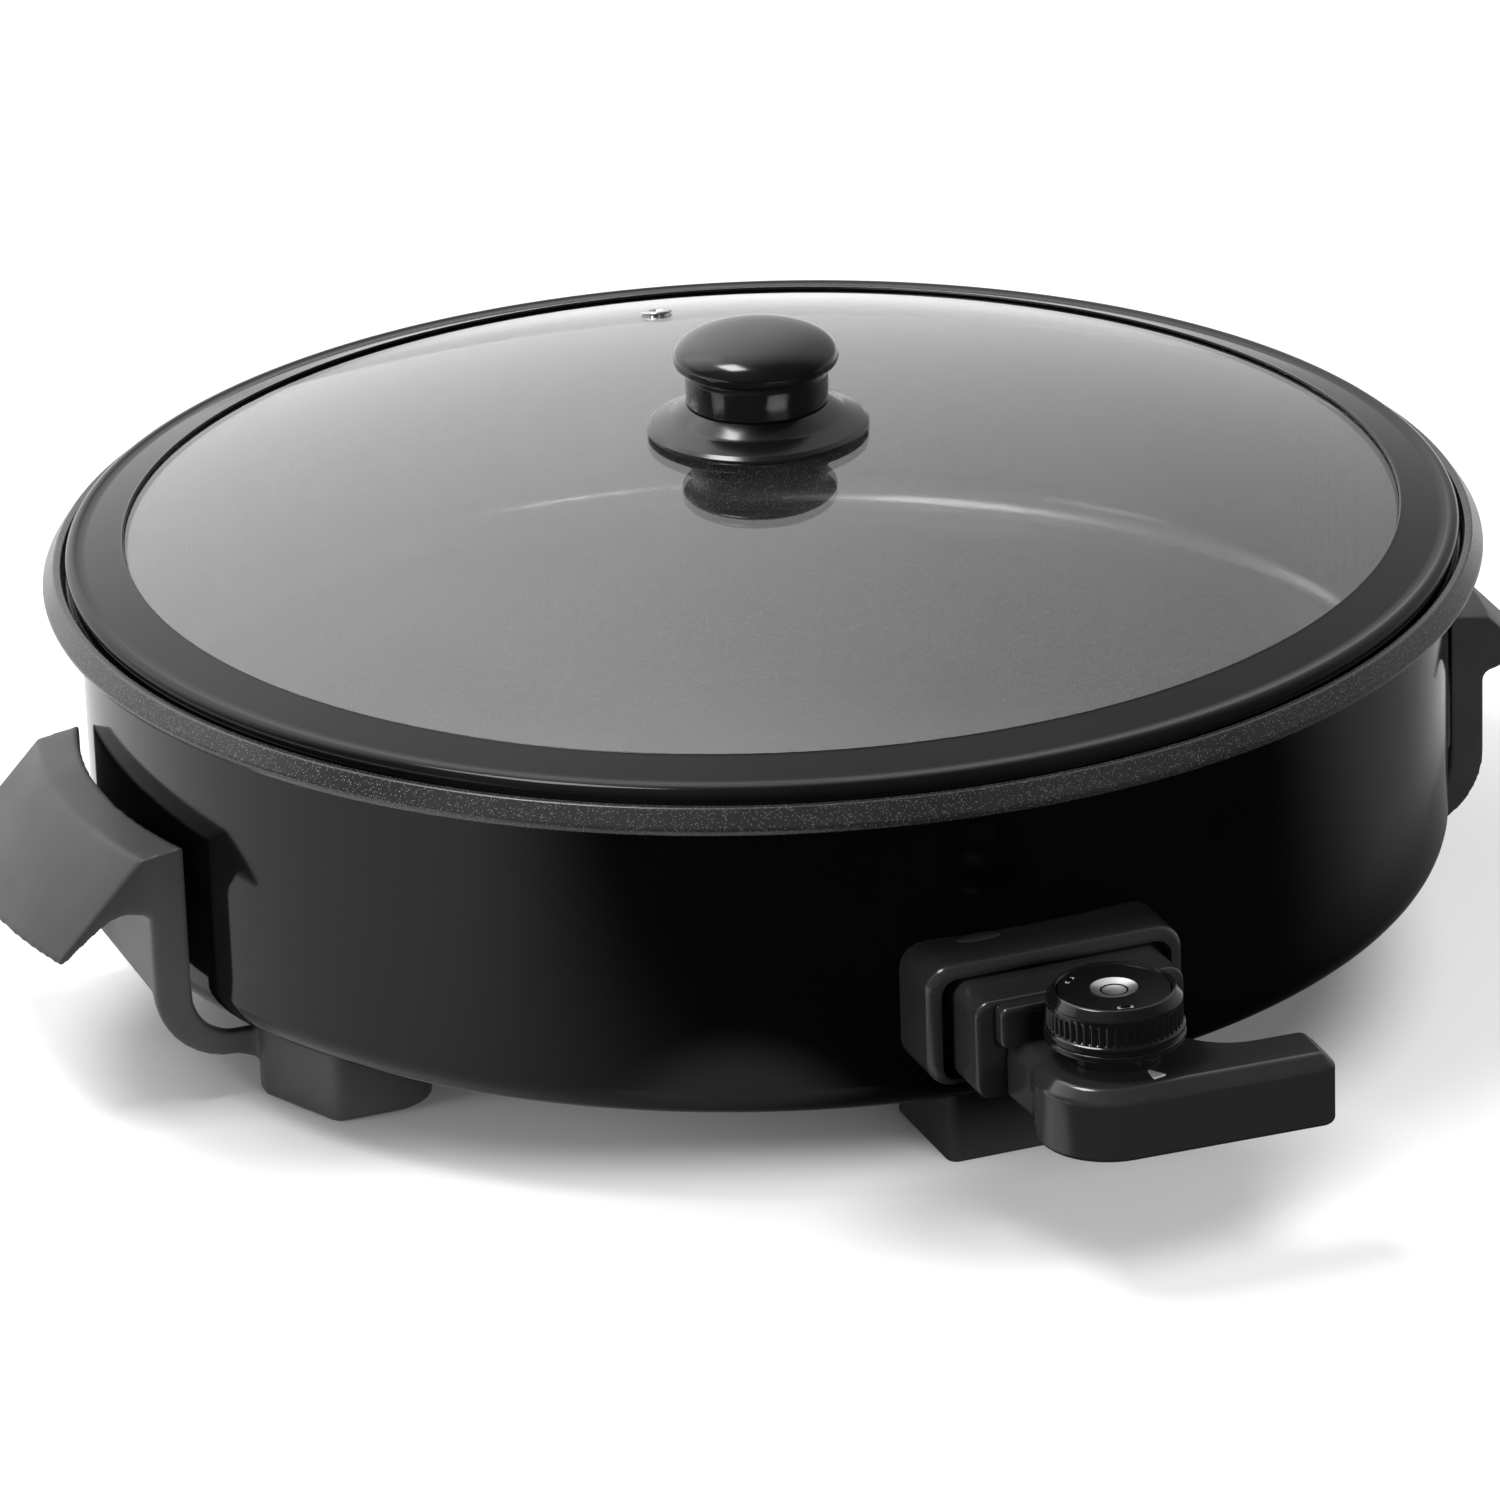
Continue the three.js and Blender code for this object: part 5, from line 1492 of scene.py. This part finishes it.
@dataclass
class Dial:
    """Ribbed dial with its flat top, silver spot and two pale marks."""

    bench: Bench
    bottom: float = 67.5
    inner: float = 15.6
    radius: float = 18.6
    flange: float = 19.3
    height: float = 14.4
    ribs: int = 52
    rib_depth: float = 0.55
    rib_inner: float = 17.0
    rib_bottom: float = 4.6
    rib_top: float = 10.4
    rib_fade: tuple[float, float] = (0.3, 0.8)
    rib_power: float = 1.5
    disc_radius: float = 15.4
    disc_drop: float = 0.6
    spot_radius: float = 6.5
    mark_radius: float = 13.1
    marks: tuple[tuple[float, float], ...] = ((-100, 4.4), (133, 4.0))

    def build(self) -> None:
        """Builds the skirt, disc, spot and marks."""
        at = (*DIAL_PLACE, self.bottom)
        top = self.height - self.disc_drop
        skirt = self.bench.solid("dial_barrel", [moved(self.barrel(), at)])
        self.bench.place(skirt, Body.DIAL, Look.GLOSS_PLASTIC, "dial_skirt")
        ring = rounded([
            (3.3, 2, 0.1), (6, 2, 0.3), (6, top - 2.4, 0.5), (self.disc_radius, top - 2.4, 0.2),
            (self.disc_radius, top, 0.25), (6.9, top, 0.3), (6.7, top - 0.5, 0.2),
            (3.3, top - 0.5, 0.1),
        ], True, 4)
        base = rod(6.4, top - 2.2, top - 1.3, 0.1)
        face = [moved(revolve(ring, SMALL_SIDES), at), moved(base, at)]
        disc = self.bench.solid("dial_face", face)
        self.bench.place(disc, Body.DIAL, Look.FLAT_PLASTIC, "dial_disc")
        spot = self.bench.solid("dial_medal", [moved(self.bowl(top), at)])
        self.bench.place(spot, Body.DIAL, Look.SILVER, "dial_spot")
        bars = self.bench.solid("dial_marks", [moved(bar, at) for bar in self.bars(top)])
        self.bench.place(bars, Body.DIAL, Look.PRINT)
        self.bench.dress(Look.PLATED_STEEL, "dial_shaft")
        self.bench.dress(Look.GLOSS_PLASTIC, "dial_collar")

    def barrel(self) -> Shell:
        """Barrel whose radius dips between its ribs.

        Between the rib levels the radius falls by depth * (1 - cos(ribs * angle)) / 2,
        raised to a power that keeps the ribs flat-topped.

        Returns:
            Points and faces.
        """
        inner, top, flange = self.inner, self.height, self.flange - 0.1
        profile = rounded([
            (inner, 0, 0.1), (self.flange, 0, 0.6), (self.flange, 1.7, 0.5),
            (self.radius - 0.1, 2.1, 0.25), (self.radius - 0.1, 2.6, 0.25),
            (flange, 3.0, 0.4), (flange, 4.0, 0.5),
            (self.radius, 4.4, 0.2), (self.radius, 4.9, 0.1), (self.radius, 9.6, 0.1),
            (self.radius, 10.6, 0.3), (self.radius, top - 2.6, 1.2),
            (inner + 0.9, top, 1.1), (inner + 0.4, top, 0.2), (inner, top - 0.8, 0.3),
        ], True, 6)
        points, faces = revolve(profile, self.ribs * 10)
        angle = np.arctan2(points[:, 1], points[:, 0])
        low = np.clip((points[:, 2] - self.rib_bottom) / self.rib_fade[0], 0, 1)
        high = np.clip((self.rib_top - points[:, 2]) / self.rib_fade[1], 0, 1)
        outside = np.clip((np.hypot(points[:, 0], points[:, 1]) - self.rib_inner), 0, 1)
        dip = ((1 - np.cos(self.ribs * angle)) / 2) ** self.rib_power * self.rib_depth
        share = 1 - dip * low * high * outside / self.radius
        return points * np.column_stack([share, share, np.ones_like(share)]), faces

    def bowl(self, top: float) -> Shell:
        """Spot with a shallow bowl: its height rises with the square of the radius.

        Args:
            top: height of the disc's face above the dial's foot.

        Returns:
            Points and faces.
        """
        share = np.linspace(1, 0, 24)
        hollow = np.column_stack([self.spot_radius * share, top - 0.9 + 1.1 * share**2])
        profile = np.vstack([[0, top - 1.4], [self.spot_radius, top - 1.4], hollow])
        return revolve(profile, SMALL_SIDES)

    def bars(self, top: float) -> list[Shell]:
        """Small pale bars on the dial's face at two of its ends of travel.

        Args:
            top: height of the disc's face above the dial's foot.

        Returns:
            One low bar for each mark.
        """
        levels = levels_between(top - 0.1, top + 0.12, 0.02, 0.05)
        bars = []
        for angle, width in self.marks:
            outline = rectangle(0, self.mark_radius, width, 1.1, 0.3)
            points, faces = loft(carried(outline, levels, 2))
            bars.append((points @ about_z(np.radians(angle - 90)).T, faces))
        return bars


# Studio


@dataclass
class Lamp:
    """Rectangular soft lamp that looks at a point of the skillet."""

    name: str
    place: Triple
    aim: Triple
    size: tuple[float, float]
    power: float
    mirrored: bool = True

    def build(self) -> None:
        """Adds the lamp; a lamp that is not mirrored leaves no spot in glossy faces."""
        data = bpy.data.lights.new(self.name, "AREA")
        data.shape = "RECTANGLE"
        data.size, data.size_y = self.size
        data.energy = self.power
        lamp = bpy.data.objects.new(self.name, data)
        bpy.context.scene.collection.objects.link(lamp)
        lamp.visible_glossy = self.mirrored
        direction = Vector(self.aim) - Vector(self.place)
        turn = direction.to_track_quat("-Z", "Y").to_matrix().to_4x4()
        lamp.matrix_world = Matrix.Translation(self.place) @ turn


@dataclass(frozen=True)
class PaintedPool:
    """Soft oval on the floor in which a factor falls from 1 to a low value; it paints shadow into
    the floor's glow, or a lighter patch into the painted shade that mirrors see.

    Centre and half-widths are in metres about the pan's axis.
    """

    centre: tuple[float, float]
    reach: tuple[float, float]
    low: float
    inner: float = 0.6
    outer: float = 1.4

    def factor(self, graph: Graph, arm: Socket) -> Socket:
        """Factor at a place on the floor.

        Args:
            graph: the floor's graph.
            arm: place on the floor about the pan's axis.

        Returns:
            The factor.
        """
        offset = graph.vector("SUBTRACT", arm, (*self.centre, 0.0))
        away = graph.length(graph.vector("DIVIDE", offset, (*self.reach, 1.0)))
        return graph.remap(away, self.inner, self.outer, self.low, 1.0)


@dataclass
class Studio:
    """Pale floor with painted shadow and painted shade, even surroundings, soft lamps and the
    photograph's camera.

    A ramp holds where a value starts and ends, and the results there.
    """

    bench: Bench
    floor_half: float = 12.0
    floor_colour: Triple = (0.62, 0.62, 0.625)
    mirrored_colour: Triple = (0.9, 0.9, 0.9)
    # Painted shade: floor colour that every ray but the camera's sees at the right front, in place
    # of the shadow there.
    painted_shade_colour: Triple = (0.03, 0.03, 0.03)
    # Painted shadow: within a rounded box of these half-widths round the skillet, the camera's glow
    # fades by the ramp below.
    painted_shadow_half: tuple[float, float] = (0.19, 0.185)
    glow: Ramp = (0.82, 1.05, 0.03, 0.58)
    far_glow: Ramp = (0.6, 2.2, 0.0, 1.0)
    far_mirror: Ramp = (0.35, 0.9, 0.0, 0.6)
    # Painted shade towards the right front, and how it thins behind the skillet.
    painted_shade: Ramp = (0.02, 0.2, 0.0, 1.0)
    painted_shade_behind: Ramp = (-0.15, 0.0, 1.0, 0.6)
    # Painted contact shadows in the camera's glow, under the controller and under the left
    # bracket's foot.
    painted_shadow_pools: tuple[PaintedPool, ...] = (
        PaintedPool((0.012, -0.22), (0.07, 0.04), 0.42),
        PaintedPool((-0.18, -0.045), (0.04, 0.07), 0.25),
    )
    # Painted light: a lighter patch in the painted shade, in front of the controller.
    painted_light_pool: PaintedPool = PaintedPool((-0.106, -0.227), (0.05, 0.05), 0.2)
    rear_light: Ramp = (-0.15, 0.65, 0.12, 1.0)
    side_light: Ramp = (-0.45, 0.4, 1.5, 0.5)
    high_light: Ramp = (0.1, 0.9, 1.3, 2.0)
    matt_share: float = 0.55
    azimuth: float = -20.5
    elevation: float = 22.8388
    roll: float = -1.9808
    distance: float = 2.65161
    lens: float = 216.0
    sensor: float = 36.0
    target: Triple = (-0.00525, 0.00196, 0.05339)
    lamps: tuple[Lamp, ...] = (
        Lamp("key_lamp", (-1.6, 1.2, 1.9), (0, 0, 0), (2.2, 2.2), 11.0),
        Lamp("top_lamp", (-0.53, 0.06, 1.5), (0, 0, 0.1), (0.6, 0.45), 15.0),
        Lamp("left_lamp", (-0.88, 1.3, 0.79), (0, 0, 0.05), (0.5, 0.5), 5.0, False),
        Lamp("front_lamp", (0.3, -1.5, 0.45), (0, 0, 0.05), (0.9, 0.22), 13.0, False),
        Lamp("side_lamp", (-1.41, -0.06, 0.35), (0, 0, 0.05), (0.5, 0.5), 8.0, False),
    )

    def build(self) -> None:
        """Sets floor, surroundings, lamps and camera."""
        self.floor()
        self.surroundings()
        for lamp in self.lamps:
            lamp.build()
        self.camera()
        bpy.context.scene.view_settings.view_transform = "Standard"

    def behind(self) -> Triple:
        """Level direction that points away from the camera."""
        turn = np.radians(self.azimuth)
        return -float(np.sin(turn)), float(np.cos(turn)), 0.0

    def rightwards(self) -> Triple:
        """Level direction to the camera's right."""
        turn = np.radians(self.azimuth)
        return float(np.cos(turn)), float(np.sin(turn)), 0.0

    def floor(self) -> None:
        """Wide pale floor, which the camera and mirrors see each in its own way, with painted
        shadow for the camera and painted shade for mirrors.
        """
        far = self.floor_half
        mesh = bpy.data.meshes.new("studio_floor")
        corners = [(-far, -far, 0), (far, -far, 0), (far, far, 0), (-far, far, 0)]
        mesh.from_pydata(corners, [], [(0, 1, 2, 3)])
        floor = bpy.data.objects.new("studio_floor", mesh)
        bpy.context.scene.collection.objects.link(floor)
        material = bpy.data.materials.new("pale_floor")
        graph = emptied(material)
        centre = tuple(float(value) for value in self.bench.axis)
        arm = graph.vector("SUBTRACT", graph.place(), centre)
        path = graph.node("ShaderNodeLightPath").outputs
        seen = self.seen_floor(graph, arm)
        mirrored = self.mirrored_floor(graph, arm, path["Is Glossy Ray"])
        ends = {0: path["Is Camera Ray"], 1: mirrored, 2: seen}
        both = graph.node("ShaderNodeMixShader", ends).outputs[0]
        graph.node("ShaderNodeOutputMaterial", {"Surface": both})
        mesh.materials.append(material)

    def seen_floor(self, graph: Graph, arm: Socket) -> Socket:
        """Floor as the camera sees it, white but for the skillet's shadow, which is partly real
        shading of the matt floor and partly painted shadow where the glow fades.

        The glow fades, as a painted shadow, in a rounded box round the skillet and in the painted
        shadow pools: the box's distance is the cube root of the sum of the cubes of the distances
        across and behind, each in units of the box's half-width.

        Args:
            graph: the floor's graph.
            arm: place on the floor about the pan's axis.

        Returns:
            The shader.
        """
        sides = [graph.along(arm, self.rightwards()), graph.along(arm, self.behind())]
        cubes = [self.cube(graph, side, half) for side, half in zip(sides, self.painted_shadow_half)]
        away = graph.math("POWER", graph.math("ADD", *cubes), 1 / 3)
        # Painted shadow: the glow fades towards the skillet.
        glow = graph.remap(away, *self.glow)
        # Painted contact shadows from the pools.
        for painted_shadow_pool in self.painted_shadow_pools:
            glow = graph.math("MULTIPLY", glow, painted_shadow_pool.factor(graph, arm))
        far = graph.remap(graph.length(arm), *self.far_glow)
        glow = graph.math("MAXIMUM", glow, far)
        return self.matt_and_glow(graph, (*self.floor_colour, 1), glow)

    def mirrored_floor(self, graph: Graph, arm: Socket, glossy: Socket) -> Socket:
        """Floor as mirrors see it.

        It is bright at the left and behind, carries painted shade at the right front, which glossy
        faces show as a dark reflection, and is white far behind.

        Args:
            graph: the floor's graph.
            arm: place on the floor about the pan's axis.
            glossy: 1 for rays that a glossy face sends out.

        Returns:
            The shader.
        """
        both = zip(self.rightwards(), self.behind())
        front_right = tuple((right - back) / 2**0.5 for right, back in both)
        back = graph.along(arm, self.behind())
        # Painted shade at the right front, thinning behind the skillet.
        painted_shade = graph.remap(graph.along(arm, front_right), *self.painted_shade)
        painted_shade = graph.math("MULTIPLY", painted_shade, graph.remap(back, *self.painted_shade_behind))
        # Painted light: a lighter patch in the painted shade.
        painted_shade = graph.math("MULTIPLY", painted_shade, self.painted_light_pool.factor(graph, arm))
        # Bright floor colour blended with the painted shade colour.
        tone = graph.blend(painted_shade, (*self.mirrored_colour, 1), (*self.painted_shade_colour, 1))
        white = graph.math("MULTIPLY", graph.remap(back, *self.far_mirror), glossy)
        return self.matt_and_glow(graph, tone, white)

    def matt_and_glow(self, graph: Graph, colour: Feed, strength: Socket) -> Socket:
        """Matt surface that also glows white.

        Args:
            graph: the floor's graph.
            colour: its colour.
            strength: strength of the glow.

        Returns:
            The shader.
        """
        matt = graph.node("ShaderNodeBsdfDiffuse", {"Color": colour}).outputs[0]
        glow = graph.node("ShaderNodeEmission", {"Strength": strength}).outputs[0]
        return graph.node("ShaderNodeAddShader", {0: matt, 1: glow}).outputs[0]

    def cube(self, graph: Graph, value: Socket, half: float) -> Socket:
        """Cube of a distance in units of a half-width."""
        size = graph.math("ABSOLUTE", graph.math("DIVIDE", value, half))
        return graph.math("POWER", size, 3.0)

    def surroundings(self) -> None:
        """Light from all round: white behind the skillet, brightest at its left.

        It is dim towards the camera, and mirrors see it stronger than matt surfaces.
        """
        world = bpy.data.worlds.new("studio_world")
        bpy.context.scene.world = world
        graph = emptied(world)
        direction = graph.node("ShaderNodeTexCoord").outputs["Generated"]
        rear = graph.remap(graph.along(direction, self.behind()), *self.rear_light)
        side = graph.remap(graph.along(direction, self.rightwards()), *self.side_light)
        high = graph.remap(graph.along(direction, (0.0, 0.0, 1.0)), *self.high_light)
        pattern = graph.math("MULTIPLY", graph.math("MULTIPLY", rear, side), high)
        path = graph.node("ShaderNodeLightPath").outputs
        soft = graph.math("MULTIPLY", pattern, self.matt_share)
        level = graph.mix(path["Is Glossy Ray"], soft, pattern)
        strength = graph.mix(path["Is Camera Ray"], level, 1.0)
        light = graph.node("ShaderNodeBackground", {"Strength": strength})
        graph.node("ShaderNodeOutputWorld", {"Surface": light.outputs[0]})

    def camera(self) -> None:
        """Long lens at the photograph's angle, from the rim and foot positions."""
        tilt, roll = np.radians([self.elevation, self.roll])
        level = np.array(self.rightwards())
        ahead = np.array(self.behind()) * np.cos(tilt) - [0, 0, np.sin(tilt)]
        upright = np.cross(level, ahead)
        right = np.cos(roll) * level + np.sin(roll) * upright
        up = -np.sin(roll) * level + np.cos(roll) * upright
        place = np.array(self.target) + self.bench.axis - self.distance * ahead
        data = bpy.data.cameras.new("photo_camera")
        data.lens = self.lens
        data.sensor_width = self.sensor
        camera = bpy.data.objects.new("photo_camera", data)
        bpy.context.scene.collection.objects.link(camera)
        matrix = np.eye(4)
        matrix[:3] = np.column_stack([right, up, -ahead, place])
        camera.matrix_world = Matrix(matrix.tolist())
        bpy.context.scene.camera = camera


# Making


def main() -> None:
    """Builds every sub-assembly in order, reports its pieces, then sets the studio."""
    logging.basicConfig(level=logging.INFO, format="%(message)s")
    bench = Bench(FinishRack())
    assemblies = [Cooker(bench), SocketGuard(bench), HandleBracket(bench, 1)]
    assemblies += [HandleBracket(bench, -1), FrontFoot(bench), Lid(bench), Knob(bench)]
    assemblies += [Controller(bench), Dial(bench)]
    for assembly in assemblies:
        bench.finished.clear()
        assembly.build()
        for piece in bench.finished:
            faces = len(piece.data.polygons)
            log.info("%s: %s, %d faces", type(assembly).__name__, piece.name, faces)
    Studio(bench).build()


if __name__ == "__main__":
    main()
